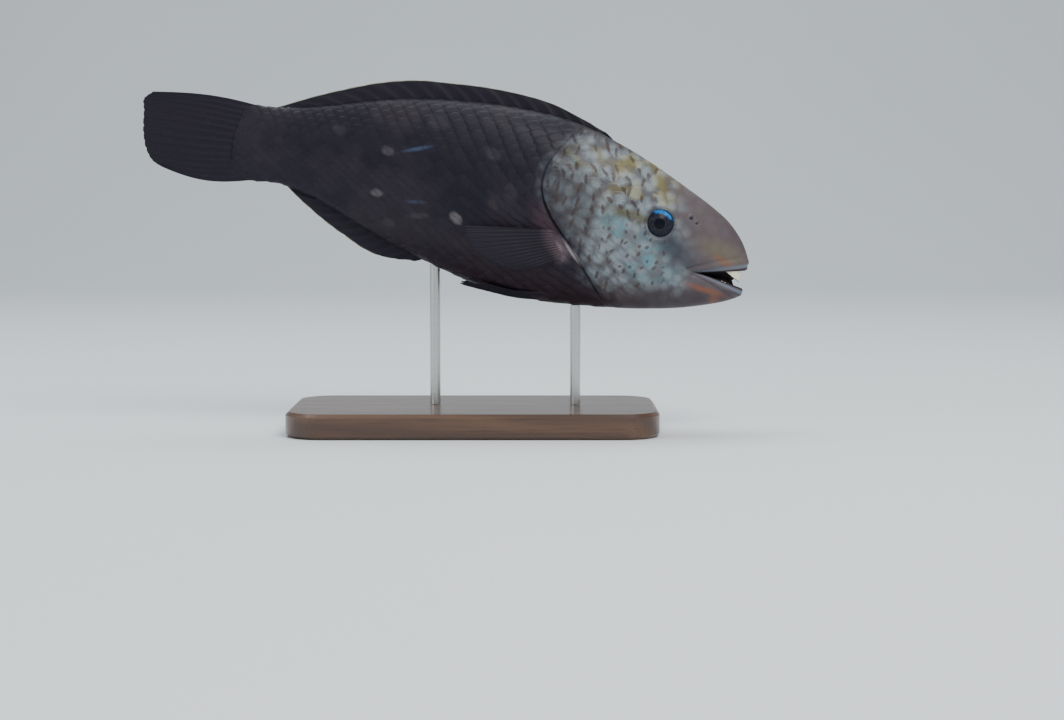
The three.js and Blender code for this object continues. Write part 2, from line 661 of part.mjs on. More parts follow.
// A rod from just above the base up to the belly, its top shaped to the belly with the usual gap.
function rodGeometry(back) {
  const belly = posed(indexed([place(back, 0, outlineUp("bottom", back))], []));
  const foot = new THREE.Vector3().fromBufferAttribute(belly.getAttribute("position"), 0);
  foot.add(fish.position);
  const bottom = BASE.thick + GAP;
  const length = foot.z + 12 * MM - bottom;
  const rod = new THREE.CylinderGeometry(ROD_RADIUS, ROD_RADIUS, length, 20);
  rod.rotateX(Math.PI / 2);
  rod.translate(foot.x, foot.y, bottom + length / 2);
  const skin = posed(bodyGeometry(GAP)).translate(...fish.position.toArray());
  return geometryOf(solidOf(rod).subtract(solidOf(skin)));
}
addToStand("stand_rod_front", rodGeometry(ROD_PLACES[0]), "steel");
addToStand("stand_rod_rear", rodGeometry(ROD_PLACES[1]), "steel");

const parrotfish = new THREE.Group();
parrotfish.add(fish, stand);

export default parrotfish;
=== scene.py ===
# %% [markdown]
# # A parrotfish on a display stand
# This lesson dresses a measured model of a parrotfish. The fish is drawn straight and level first,
# by distances behind the snout, to the left and up, and is then given its pose. One skin runs from
# inside the lips to the tail, a coat of separate scales lies over it, and the fins, eyes and beak
# are pieces of their own. They are worked out as grids of points, because a primitive shaped by
# hand would not land on the measured surface.

# %% load the measured model
import json
import math
from functools import partialmethod

import bpy
import numpy as np
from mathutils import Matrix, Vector

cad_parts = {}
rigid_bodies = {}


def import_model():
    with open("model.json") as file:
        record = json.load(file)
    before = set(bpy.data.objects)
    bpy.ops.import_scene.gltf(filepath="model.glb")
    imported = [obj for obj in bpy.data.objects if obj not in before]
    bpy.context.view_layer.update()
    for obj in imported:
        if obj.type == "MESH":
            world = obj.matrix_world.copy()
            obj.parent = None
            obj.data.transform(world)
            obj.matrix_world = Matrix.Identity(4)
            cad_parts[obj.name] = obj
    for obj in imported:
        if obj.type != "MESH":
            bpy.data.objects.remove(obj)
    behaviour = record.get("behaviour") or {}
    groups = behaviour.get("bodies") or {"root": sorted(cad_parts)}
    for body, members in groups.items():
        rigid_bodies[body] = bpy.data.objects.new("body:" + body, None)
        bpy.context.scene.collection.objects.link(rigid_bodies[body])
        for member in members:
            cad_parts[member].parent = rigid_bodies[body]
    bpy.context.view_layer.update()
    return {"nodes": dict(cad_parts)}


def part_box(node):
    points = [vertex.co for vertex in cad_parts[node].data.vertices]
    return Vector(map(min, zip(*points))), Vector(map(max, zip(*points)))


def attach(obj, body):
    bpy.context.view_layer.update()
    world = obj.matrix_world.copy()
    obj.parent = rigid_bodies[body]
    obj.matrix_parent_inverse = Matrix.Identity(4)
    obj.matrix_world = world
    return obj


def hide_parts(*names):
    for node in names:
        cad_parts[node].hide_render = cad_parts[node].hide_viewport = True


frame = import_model()
rng = np.random.default_rng(14)
print("measured nodes:", sorted(frame["nodes"]))

# %% [markdown]
# The measured model is drawn with the same rings as the skin below. A ring is one loop round the
# body, given by its top, its side and its bottom in side view and by its half width. The rings of
# the snout are bent back at the sides so that they run along the lips. All lengths here are
# millimetres.

# %% rings of the body
RINGS = np.array([
    # top back, up   side back, up   bottom back, up   half width
    [6.2, -6.2, 19.5, -9.4, 6.2, -8.6, 2.2],
    [5.5, -4.4, 21, -9.3, 5.2, -10.2, 4.4],
    [3.6, -3, 22.4, -9.1, 3.2, -12.4, 6.2],
    [0.9, -2.4, 23.4, -9, 0.7, -11.2, 7.5],
    [0.4, 0.1, 25.2, -9.3, -0.3, -13.2, 8.8],
    [1.7, 3.9, 28, -9, 1.9, -16.1, 9.9],
    [6.9, 11.2, 32.5, -7.4, 8.7, -20.2, 11.4],
    [15.2, 18.2, 37.8, -4.6, 19, -24.7, 13],
    [26, 23.7, 43.5, -1.6, 31, -29.1, 14.4],
    [40, 29.3, 52, 0.8, 44, -32.8, 16],
    [54.5, 34.8, 63, 2, 57, -35.7, 17.6],
    [70.5, 40.1, 76, 2.5, 72, -38.5, 19.1],
    [88, 44.4, 91, 2.5, 89, -41.1, 20],
    [108, 46.4, 108.5, 2, 108, -42.3, 20],
    [130, 45.4, 130, 2, 130, -40.7, 19],
    [152, 42.5, 152, 2, 152, -36.6, 16.9],
    [174, 38, 174, 1.6, 174, -32, 13.9],
    [194, 31.8, 194, 1, 194, -25.8, 10.9],
    [212, 25, 212, 0.4, 212, -20.6, 8.4],
    [228, 19.6, 228, -0.4, 228, -18.6, 6.6],
    [240, 16.7, 240, -1.2, 239.5, -20.3, 5],
    [247, 15.8, 247.5, -1.8, 246.5, -21.2, 3.7],
    [253, 15.2, 255, -2.4, 252.5, -21.9, 2.2],
]).T
LIP_RING = 4  # the ring that runs along the lips
EYE = {"back": 47.8, "up": 9.0, "out": 12.0, "radius": 7.2, "depth": 4.6}
NOSTRILS = [(33.4, 15.2, 0.8), (30.2, 13.4, 0.62)]  # behind the snout, up, radius
NOSE_DOWN = math.radians(14.5)
SWAY_FROM, SWAY, LENGTH = 95.0, 9.0, 300.0


def mix(a, b, t):
    return a + (b - a) * t


def smooth(x):
    x = np.clip(x, 0, 1)
    return x * x * (3 - 2 * x)


def points_at(back, left, up):
    """Points from their three measures, each a number or an array."""
    return np.stack(np.broadcast_arrays(back, left, up), -1)


def through(values, t):
    """Value at position t, in list steps, of a curve that passes through every number."""
    values = np.asarray(values, float)
    last = len(values) - 1
    t = np.clip(t, 0, last)
    i = np.minimum(last - 1, np.floor(t).astype(int))
    f = t - i
    ends = np.concatenate([[2 * values[0] - values[1]], values, [2 * values[-1] - values[-2]]])
    p0, p1, p2, p3 = ends[i], ends[i + 1], ends[i + 2], ends[i + 3]
    square, cube = 2 * p0 - 5 * p1 + 4 * p2 - p3, 3 * p1 - p0 - 3 * p2 + p3
    return 0.5 * (2 * p1 + (p2 - p0) * f + square * f**2 + cube * f**3)


def ring_point(t, phi):
    """Point of the skin at ring t and angle phi from the top of the back: back, left and up."""
    top_b, top_u, side_b, side_u, low_b, low_u, half = (through(row, t) for row in RINGS)
    c, s = np.cos(phi), np.sin(phi)
    share = np.abs(c)
    upper = c >= 0
    back = mix(side_b, np.where(upper, top_b, low_b), share)
    up = mix(side_u, np.where(upper, top_u, low_u), share)
    return points_at(back, half * s, up)


def smooth_curve(points, steps=6):
    points = np.array(points, float)
    t = np.linspace(0, len(points) - 1, (len(points) - 1) * steps + 1)
    return np.stack([through(points[:, 0], t), through(points[:, 1], t)], -1)


def ahead_of(curve, back, up):
    """Distance in side view to a curve, positive ahead of it and else negative."""
    best, sign = np.full(back.shape, np.inf), np.ones(back.shape)
    for (b0, u0), (b1, u1) in zip(curve[:-1], curve[1:]):
        db, du = b1 - b0, u1 - u0
        f = np.clip(((back - b0) * db + (up - u0) * du) / (db**2 + du**2), 0, 1)
        distance = np.hypot(back - mix(b0, b1, f), up - mix(u0, u1, f))
        turn = np.sign(db * (up - u0) - du * (back - b0))
        nearer = distance < best
        best = np.where(nearer, distance, best)
        sign = np.where(nearer, turn, sign)
    return -sign * best


gill_edge = smooth_curve([
    [86, 54], [99, 36], [105.5, 22], [105, 10], [97.5, -1], [87.5, -10], [77.5, -20], [68, -29.5],
    [56, -42],
])
cheek_edge = smooth_curve([
    [97, 28], [90.5, 24], [86.5, 15], [83.5, 4], [79, -6], [72, -15.5], [63.5, -24], [60, -30],
])
print("rings of the body:", RINGS.shape[1])

# %% [markdown]
# The pose swings the tail a little to the left and tips the fish nose down. The eye of the
# measured model says where the posed fish stands above its base, so that every new piece lands on
# the measured one.

# %% pose
def tipped(points):
    """Straight fish (back, left, up) in millimetres to the posed one's x, y and z."""
    back, left, up = np.moveaxis(np.asarray(points, float), -1, 0)
    sway = SWAY * (np.maximum(0, back - SWAY_FROM) / (LENGTH - SWAY_FROM)) ** 2
    x = -back * math.cos(NOSE_DOWN) + up * math.sin(NOSE_DOWN)
    z = back * math.sin(NOSE_DOWN) + up * math.cos(NOSE_DOWN)
    return np.stack([x, left + sway, z], -1)


low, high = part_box("eye_right")
eye_middle = np.array((low + high) / 2) * 1000
offset = eye_middle - tipped([EYE["back"], -EYE["out"], EYE["up"]])


def posed(points):
    """Straight fish in millimetres to the place of the model, in metres."""
    return (tipped(points) + offset) / 1000


print("snout tip at", posed([0, 0, 0]).round(4))

# %% [markdown]
# ## Camera, floor and light
# The camera stands square to the fish's right side and a little above it, at the photo's framing.
# A long lens a metre away keeps the fish's proportions; a short one would swell the near flank.

# %% camera
FRAME_WIDTH = 0.513  # metres across the picture at the fish
CAMERA_DISTANCE = 1.0
CAMERA_RISE = math.radians(5)
SENSOR = 36.0
AIM_BEHIND, AIM_BELOW = 0.1042, 0.0453  # metres from the snout to the middle of the picture


def add_object(name, data):
    obj = bpy.data.objects.new(name, data)
    bpy.context.scene.collection.objects.link(obj)
    return obj


def facing(way):
    """Turn of a camera or lamp that looks along a way."""
    return way.to_track_quat("-Z", "Y").to_euler()


snout = posed([0, 0, 0])
aim = Vector((snout[0] - AIM_BEHIND, 0.0, snout[2] - AIM_BELOW))
camera_data = bpy.data.cameras.new("camera")
camera_data.sensor_width = SENSOR
camera_data.lens = SENSOR * CAMERA_DISTANCE / FRAME_WIDTH
camera = add_object("camera", camera_data)
camera.location = aim + Vector((0, -math.cos(CAMERA_RISE), math.sin(CAMERA_RISE))) * CAMERA_DISTANCE
camera.rotation_euler = facing(aim - camera.location)
bpy.context.scene.camera = camera
print("camera at", [round(x, 3) for x in camera.location])

# %% [markdown]
# The floor is a pale sheet that curves up behind, as in a photo studio. A plane and a wall would
# show a hard line, so the rear edge of one plane is drawn up and the fold is rounded. Three large
# soft lamps light the dark body, so that it shows its form by the sheen along its back.

# %% floor and lamps
FLOOR_SIZE = (6, 4)  # metres
WALL_HEIGHT = 3
bpy.ops.mesh.primitive_plane_add(size=1, location=(0, 0, 0))
floor = bpy.context.object
floor.name = "floor"
bpy.ops.object.mode_set(mode="EDIT")
bpy.ops.mesh.select_all(action="SELECT")
bpy.ops.transform.resize(value=(*FLOOR_SIZE, 1))
bpy.ops.mesh.select_all(action="DESELECT")
bpy.ops.object.mode_set(mode="OBJECT")
for vertex in floor.data.vertices:
    vertex.select = vertex.co.y > 0
bpy.ops.object.mode_set(mode="EDIT")
bpy.ops.mesh.extrude_region_move(TRANSFORM_OT_translate={"value": (0, 0, WALL_HEIGHT)})
bpy.ops.object.mode_set(mode="OBJECT")
bend = floor.modifiers.new("bend", "BEVEL")
bend.width = 0.8
bend.segments = 12
bpy.ops.object.modifier_apply(modifier="bend")
bpy.ops.object.shade_smooth()
MODEL_MIDDLE = Vector((0, 0, 0.1))


def lamp(name, place, size, power, colour):
    """A soft lamp that looks at the model, with its power in watts."""
    data = bpy.data.lights.new(name, "AREA")
    data.shape = "RECTANGLE"
    data.size, data.size_y = size
    data.energy = power
    data.color = colour
    obj = add_object(name, data)
    obj.location = place
    obj.rotation_euler = facing(MODEL_MIDDLE - Vector(place))


lamp("key_lamp", (0.6, -0.9, 1.3), (0.8, 0.8), 24, (1.0, 0.98, 0.95))
lamp("sky_lamp", (-0.2, 0.45, 1.5), (1.4, 0.6), 18, (0.88, 0.95, 1.0))
lamp("side_lamp", (-1.3, -0.7, 0.6), (0.6, 0.6), 6, (0.9, 0.95, 1.0))
world = bpy.data.worlds.new("studio")
bpy.context.scene.world = world
world.use_nodes = True
background = world.node_tree.nodes["Background"]
background.inputs["Color"].default_value = (0.8, 0.86, 0.9, 1)
background.inputs["Strength"].default_value = 0.45

# %% [markdown]
# ## Finishes
# Shader values read best as sums and products, so one small class lets a socket be used like a
# number. Every marking is worked out from the straight fish's own measures, which each piece
# carries in the attribute "fish" (centimetres behind the snout, to the left and up), so that skin,
# scales and fins agree.

# %% shader helpers
class Value:
    """A shader socket that can be used in sums like a number."""

    def __init__(self, finish, socket):
        self.finish = finish
        self.socket = socket

    def math(self, operation, *others):
        return self.finish.node("ShaderNodeMath", {"operation": operation}, [self, *others])

    __add__ = __radd__ = partialmethod(math, "ADD")
    __mul__ = __rmul__ = partialmethod(math, "MULTIPLY")
    __sub__ = partialmethod(math, "SUBTRACT")
    __rsub__ = partialmethod(math, "MULTIPLY_ADD", -1.0)
    __truediv__ = partialmethod(math, "DIVIDE")
    __pow__ = partialmethod(math, "POWER")

    def rise(self, low, high):
        """0 below low, 1 above high, smooth between them; low may be above high to turn it round."""
        settings = {"interpolation_type": "SMOOTHSTEP"}
        if low > high:
            return 1 - self.rise(high, low)
        return self.finish.node("ShaderNodeMapRange", settings, [self, low, high])


# %% [markdown]
# A finish is a Principled shader fed by such sums. One method adds any node, with its settings
# first and then the values or links of its sockets.

# %% finish helper
class Finish:
    """A material with a Principled shader and short ways to add nodes to it."""

    def __init__(self, name, **fixed):
        self.material = bpy.data.materials.new(name)
        self.material.use_nodes = True
        self.tree = self.material.node_tree
        self.shader = self.tree.nodes["Principled BSDF"]
        for key, value in fixed.items():
            self.shader.inputs[key.replace("_", " ")].default_value = value

    def put(self, target, value):
        if isinstance(value, Value):
            self.tree.links.new(value.socket, target)
        else:
            target.default_value = value

    def node(self, kind, settings=None, inputs=(), output=0):
        made = self.tree.nodes.new(kind)
        for key, value in (settings or {}).items():
            setattr(made, key, value)
        pairs = inputs.items() if isinstance(inputs, dict) else enumerate(inputs)
        for key, value in pairs:
            self.put(made.inputs[key], value)
        return Value(self, made.outputs[output])

    def attribute(self, name, output="Fac"):
        return self.node("ShaderNodeAttribute", {"attribute_name": name}, output=output)

    def place_on_piece(self):
        return self.node("ShaderNodeTexCoord", output="Object")

    def split(self, vector):
        made = self.node("ShaderNodeSeparateXYZ", inputs=[vector])
        return [Value(self, made.socket.node.outputs[i]) for i in range(3)]

    def vector(self, x, y, z):
        return self.node("ShaderNodeCombineXYZ", inputs=[x, y, z])

    def noise(self, vector, scale, detail=3.0, rough=0.5):
        inputs = {"Vector": vector, "Scale": scale, "Detail": detail, "Roughness": rough}
        return self.node("ShaderNodeTexNoise", inputs=inputs)

    def mix(self, share, a, b):
        made = self.tree.nodes.new("ShaderNodeMix")
        made.data_type = "RGBA"
        self.put(made.inputs["Factor"], share)
        sockets = [s for s in made.inputs if s.type == "RGBA"]
        for target, colour in zip(sockets, (a, b)):
            self.put(target, colour if isinstance(colour, Value) else (*colour, 1.0))
        return Value(self, next(s for s in made.outputs if s.type == "RGBA"))

    def set(self, name, value):
        self.put(self.shader.inputs[name], value)

    def bump(self, height, distance, strength):
        inputs = {"Strength": strength, "Distance": distance, "Height": height}
        self.set("Normal", self.node("ShaderNodeBump", inputs=inputs))


# %% [markdown]
# The skin's markings: a near-black, purplish brown body with a few pale spots, which turns pale
# grey at the gill opening. The head carries short brown dashes on its nape and gill cover, dots on
# the cheek, blue and olive tints, an orange streak at the corner of the mouth and pale lips.
# They could be painted by hand; here each is a ragged ellipse or band in side view, so that skin
# and scales carry the same markings on both sides. Places are in centimetres.

# %% markings
BODY_DARK = (0.0070, 0.0058, 0.0135)
BODY_BROWN = (0.017, 0.0125, 0.019)
BODY_RED = (0.024, 0.0115, 0.0165)
SPOT_PALE = (0.195, 0.23, 0.255)
SPOT_WARM = (0.265, 0.27, 0.205)
NET_GREY = (0.084, 0.088, 0.10)
NET_OLIVE = (0.115, 0.093, 0.048)
GOLD = (0.16, 0.15, 0.055)
SNOUT_MAUVE = (0.088, 0.068, 0.078)
SNOUT_OLIVE = (0.125, 0.10, 0.072)
CROWN_BROWN = (0.062, 0.048, 0.052)
THROAT_BROWN = (0.052, 0.037, 0.042)
DASH_BROWN = (0.042, 0.021, 0.018)
CHEEK_BLUE = (0.10, 0.235, 0.275)
# painted shadow below the eye, towards the snout
PAINTED_EYE_SHADOW = (0.03, 0.038, 0.055)
SPOT_CREAM = (0.13, 0.115, 0.125)
STREAK_BLUE = (0.045, 0.07, 0.13)
ORANGE = (0.25, 0.088, 0.042)
LIP_PALE = (0.155, 0.19, 0.25)
BASE_PINK = (0.215, 0.155, 0.18)
EDGE_PINK = (0.40, 0.34, 0.36)
COLLAR_RED = (0.048, 0.024, 0.034)
# painted shade inside the mouth
PAINTED_MOUTH_SHADE = (0.012, 0.007, 0.011)
NEARLY_BLACK = (0.006, 0.005, 0.008)
EYE_STRIPE = (0.085, 0.072, 0.028)
# painted highlight above the eye
PAINTED_BROW_HIGHLIGHT = (0.26, 0.27, 0.33)
SCALE_VIOLET = (0.06, 0.05, 0.072)
BODY_FLECK = (0.016, 0.013, 0.02)
HEAD_FLECK = (0.09, 0.078, 0.078)

# Pale spots and blue streaks of the flank: middle, half lengths, turn and strength.
SPOTS = [
    ((14.15, -1.25), (0.33, 0.2), 0.5, 0.85), ((18.1, -1.05), (0.28, 0.17), -0.1, 0.6),
    ((18.05, 1.0), (0.3, 0.2), 0.2, 0.34), ((13.2, 2.1), (0.36, 0.26), 0.4, 0.14),
    ((15.9, -1.6), (0.46, 0.13), -0.3, 0.14), ((20.6, 1.4), (0.34, 0.22), 0.1, 0.12),
    ((11.9, 0.6), (0.38, 0.28), 0.9, 0.1), ((17.2, -2.3), (0.3, 0.2), 0.2, 0.12),
    ((16.1, 2.9), (0.5, 0.3), 0.1, 0.1), ((12.6, -0.2), (0.3, 0.2), 0.7, 0.1),
]
STREAKS = [((16.7, 1.45), (0.62, 0.09), -0.42, 0.7), ((16.2, -1.0), (0.45, 0.08), -0.2, 0.4)]


def blob(finish, back, up, centre, radii, turn, soft, rough):
    """1 inside an ellipse of the side view, in centimetres, falling to 0 over its soft rim."""
    c, s = math.cos(turn), math.sin(turn)
    db, du = back - centre[0], up - centre[1]
    along = (db * c + du * s) / radii[0]
    across = (du * c - db * s) / radii[1]
    size = (along * along + across * across) ** 0.5 + rough
    return size.rise(1 + soft, 1 - soft)


def dashes(finish, place, cell, length, width, lean):
    """Short dashes, one to a cell of the side view, each with its own small turn."""
    settings = {"feature": "F1", "voronoi_dimensions": "2D"}
    inputs = {"Vector": place, "Scale": 1 / cell, "Randomness": 0.85}
    outputs = finish.node("ShaderNodeTexVoronoi", settings, inputs).socket.node.outputs
    middle = Value(finish, outputs["Position"])
    from_middle = finish.node("ShaderNodeVectorMath", {"operation": "SUBTRACT"}, [place, middle])
    db, du, _ = finish.split(from_middle)
    red, green, _ = finish.split(Value(finish, outputs["Color"]))
    turn = (red - 0.5) * 1.3 + lean
    c, s = turn.math("COSINE"), turn.math("SINE")
    across = (db * c + du * s) / width
    along = (du * c - db * s) / (length * (0.55 + green * 0.8))
    size = (across * across + along * along) ** 0.5
    return size.rise(1.25, 0.75) * green.rise(0.04, 0.12)


# %% [markdown]
# The body is nearly black and purplish. One even dark colour would hide its form, so broad patches
# drift between three dark tones, under a few pale spots and short blue streaks.

# %% colour of the body
def body_colour(f, mark, place, drift):
    """The body's ground: near black, browner above and behind, with its spots and streaks."""
    back, _, up = f.split(place)
    patches = f.noise(place, 0.35, 2.0)
    reddish = (up + drift * 2.0).rise(-1.2, -3.4) * back.rise(20.0, 9.0)
    dark = f.mix(patches.rise(0.42, 0.62), BODY_DARK, BODY_BROWN)
    dark = f.mix(reddish * 0.8, dark, BODY_RED)
    dark = f.mix(up.rise(2.4, 4.6) * back.rise(11.0, 17.0) * 0.4, dark, BODY_BROWN)
    dark = f.mix(back.rise(19.0, 24.0) * 0.3, dark, BODY_BROWN)
    for centre, radii, turn, share in SPOTS:
        dark = f.mix(mark(centre, radii, turn, 0.4, 0.9) * share, dark, SPOT_CREAM)
    for centre, radii, turn, share in STREAKS:
        dark = f.mix(mark(centre, radii, turn, 0.6, 0.6) * share, dark, STREAK_BLUE)
    return dark


# %% [markdown]
# The head is the pale part: spots in a darker net, blue grey towards the gills and olive or gold
# along the nape, under short brown dashes. One cell pattern makes the net and another the dashes,
# which are easier to shift and tint than painted strokes.

# %% colour of the head
def head_colour(f, mark, place, uneven, drift):
    """The head's ground: pale spots in a darker net, tints, and dashes and dots over them."""
    back, left, up = f.split(place)
    flat = f.vector(back + uneven * 0.4, up + drift * 0.6, 0.0)
    settings = {"feature": "SMOOTH_F1", "voronoi_dimensions": "2D"}
    inputs = {"Vector": flat, "Scale": 1.9, "Smoothness": 0.45}
    cells = f.node("ShaderNodeTexVoronoi", settings, inputs)
    spotted = (cells + uneven * 0.45).rise(0.7, 0.12)
    tint = f.noise(f.vector(back + 3.0, up, left), 0.95, 3.0)
    warm = tint.rise(0.42, 0.58) * (up - back * 0.1).rise(-0.4, 1.2) * back.rise(8.8, 7.0)
    pale = f.mix(spotted, f.mix(warm, NET_GREY, NET_OLIVE), f.mix(warm, SPOT_PALE, SPOT_WARM))
    on_gold = tint.rise(0.55, 0.66) * (up - back * 0.2).rise(0.2, 1.3) * back.rise(4.2, 5.4)
    pale = f.mix(on_gold * (0.85 - spotted * 0.45), pale, GOLD)
    pale = f.mix(mark((9.1, 0.5), (1.2, 1.9), -0.25, 0.6, 0.8) * 0.62, pale, BODY_BROWN)

    snout = (back + drift * 1.6 - up * 0.35).rise(4.3, 2.7)
    nose = f.mix(mark((1.5, 0.3), (1.1, 0.5), 0.2, 0.8), SNOUT_MAUVE, SNOUT_OLIVE)
    pale = f.mix(snout * 0.92, pale, nose)
    crown = (back * 0.74 - up).rise(-0.1, -0.75) * back.rise(7.0, 6.0)
    pale = f.mix(crown * 0.6, pale, CROWN_BROWN)
    throat = (up + drift + back * 0.14).rise(-1.0, -2.1)
    pale = f.mix(throat * 0.9, pale, THROAT_BROWN)
    cheek = mark((5.6, -0.5), (1.9, 1.05), 0.4, 0.5)
    blue = f.noise(f.vector(back + 7.0, up, left), 1.3, 3.0).rise(0.47, 0.64)
    pale = f.mix(cheek * 0.35, pale, SPOT_PALE)
    pale = f.mix(blue * cheek * 0.85, pale, CHEEK_BLUE)
    # Painted shadow of the eye socket: a dark blue patch below the eye and towards the snout.
    pale = f.mix(mark((4.0, 0.0), (1.25, 0.55), 0.55, 0.8) * 0.85, pale, PAINTED_EYE_SHADOW)
    pale = f.mix(mark((6.1, 0.95), (1.1, 0.22), 0.05, 0.7, 0.9) * 0.75, pale, EYE_STRIPE)
    ridge = left.math("ABSOLUTE").rise(1.0, 0.35) * up.rise(1.4, 2.2) * back.rise(5.4, 8.0)
    pale = f.mix(ridge * 0.8, pale, BODY_BROWN)
    # Painted highlight: a small pale spot on the skin at the eye's upper rim.
    pale = f.mix(mark((4.6, 1.76), (0.34, 0.1), -0.15, 0.95) * 0.4, pale, PAINTED_BROW_HIGHLIGHT)

    calm = f.vector(back + uneven * 0.16, up + drift * 0.6, 0.0)
    long_marks = dashes(f, calm, 0.56, 0.23, 0.08, -0.35)
    moved = f.vector(back + 3.3 + drift * 0.3, up + 5.1 + uneven * 0.2, 0.0)
    dots = dashes(f, moved, 0.5, 0.12, 0.07, 0.2)
    on_cheek = mark((5.4, -0.9), (2.4, 1.5), 0.35, 0.25)
    on_nape = (back + up * 0.15).rise(4.9, 6.2) * (1 - on_cheek) * up.rise(-3.4, -2.4)
    pale = f.mix(long_marks * on_nape * 0.74, pale, DASH_BROWN)
    pale = f.mix(dots * on_cheek * back.rise(3.4, 4.4) * 0.66, pale, DASH_BROWN)

    pale = f.mix(mark((1.85, -1.61), (0.85, 0.13), 0.07, 0.9, 1.2) * 0.7, pale, ORANGE)
    pale = f.mix(mark((1.28, -1.95), (0.2, 0.26), 0.0, 0.9, 1.2) * 0.6, pale, ORANGE)
    pale = f.mix(mark((1.3, -0.1), (0.5, 0.16), 0.25, 0.9) * 0.4, pale, ORANGE)
    return f.mix(f.attribute("lip") * 0.8, pale, LIP_PALE)


# %% [markdown]
# Skin and scales share one wet, slightly rough finish. The measured distance to the gill opening
# says where the pale head ends and the dark body starts. Scales have darker rims and differ a
# little in tone, which one sheet of colour would not show.

# %% finish of skin and scales
def skin_finish(name, scaled):
    f = Finish(name, IOR=1.4, Coat_Roughness=0.15)
    place = f.attribute("fish", "Vector")
    back, _, up = f.split(place)
    wobble = f.noise(place, 0.9, 2.0)
    fine = f.noise(place, 4.5, 4.0, 0.6)
    grain = f.noise(place, 16.0, 3.0, 0.6)
    uneven, drift = fine - 0.5, wobble - 0.5

    def mark(centre, radii, turn, soft, ragged=0.0):
        return blob(f, back, up, centre, radii, turn, soft, uneven * ragged)

    # "ahead" counts centimetres ahead of the gill opening, and is negative behind it.
    head_share = (f.attribute("ahead") + drift * 1.3 + uneven * 0.5).rise(-0.6, 1.3)
    body, head = body_colour(f, mark, place, drift), head_colour(f, mark, place, uneven, drift)
    colour = f.mix(head_share, body, head)
    colour = f.mix(mark((9.95, -0.6), (1.15, 0.45), 0.85, 0.8, 0.6) * 0.8, colour, COLLAR_RED)
    colour = f.mix(mark((9.2, -1.5), (0.6, 0.36), 0.6, 0.8, 0.8) * 0.8, colour, BASE_PINK)
    # Painted shade in the nostril pits.
    colour = f.mix(f.attribute("pit"), colour, NEARLY_BLACK)
    # Painted shade inside the mouth, from just within the lips inward.
    colour = f.mix(f.attribute("mouth"), colour, PAINTED_MOUTH_SHADE)
    # Painted shade along the gill opening, under the cover's edge, stronger low on the side.
    colour = f.mix(f.attribute("painted_gill_shade") * up.rise(3.6, 1.0) * 0.5, colour, NEARLY_BLACK)
    colour = f.mix(mark((8.42, -1.45), (0.62, 0.09), 0.72, 0.6, 0.6) * 0.85, colour, EDGE_PINK)
    if scaled:
        rim = f.attribute("rim")
        tone = f.attribute("tone")
        colour = f.mix(rim * (0.5 - head_share * 0.3), colour, NEARLY_BLACK)
        lighter = f.mix(head_share, SCALE_VIOLET, SPOT_WARM)
        colour = f.mix((1 - rim) * tone * (0.1 - head_share * 0.04), colour, lighter)
    flecks = f.mix(head_share, BODY_FLECK, HEAD_FLECK)
    f.set("Base Color", f.mix(grain.rise(0.35, 0.75) * 0.2, colour, flecks))
    f.set("Roughness", 0.52 + (grain - 0.5) * 0.25)
    f.set("Coat Weight", 0.03 + head_share * 0.05)
    f.set("Specular IOR Level", 0.25)
    f.bump(grain + fine * 0.5, 0.0004, 0.35)
    return f.material


skin_material = skin_finish("wet_skin", scaled=False)
scale_material = skin_finish("wet_scales", scaled=True)
print("nodes in the finish of the scales:", len(scale_material.node_tree.nodes))

# %% [markdown]
# Fins are thin, dark and a little browner along each ray, and those of the back and belly have a
# pale edge. The beak is cream tooth, the base is dark varnished wood and the rods are satin steel.
# Flat colours would look like plastic, so each finish varies a little over its surface.

# %% other finishes
def fin_finish():
    f = Finish("fin_membrane", IOR=1.4, Specular_IOR_Level=0.25)
    place = f.attribute("fish", "Vector")
    crest = f.attribute("crest")
    reach = f.attribute("reach")
    border = f.attribute("border")
    pink = f.attribute("pink")
    fine = f.noise(place, 5.0, 4.0, 0.6)
    soft = f.noise(place, 1.1, 3.0)
    colour = f.mix(crest * (0.2 + soft * 0.4), (0.0115, 0.0092, 0.0165), (0.021, 0.017, 0.025))
    colour = f.mix(fine.rise(0.5, 0.75) * 0.3, colour, (0.026, 0.021, 0.031))
    colour = f.mix(pink * reach.rise(0.26, 0.03) * 0.7, colour, (0.12, 0.08, 0.095))
    colour = f.mix(border * reach.rise(0.93, 0.99) * 0.8, colour, (0.27, 0.28, 0.17))
    f.set("Base Color", colour)
    f.set("Roughness", 0.45 + fine * 0.25)
    f.bump(fine, 0.0002, 0.3)
    return f.material


def beak_finish():
    f = Finish("beak_tooth", IOR=1.55, Coat_Weight=0.5, Coat_Roughness=0.1)
    place = f.place_on_piece()
    cloud = f.noise(place, 260.0, 3.0)
    line = f.noise(place, 900.0, 2.0)
    colour = f.mix(cloud.rise(0.4, 0.7), (0.78, 0.72, 0.58), (0.62, 0.56, 0.42))
    f.set("Base Color", f.mix(line.rise(0.55, 0.7) * 0.25, colour, (0.42, 0.38, 0.30)))
    f.set("Roughness", 0.25 + cloud * 0.2)
    return f.material


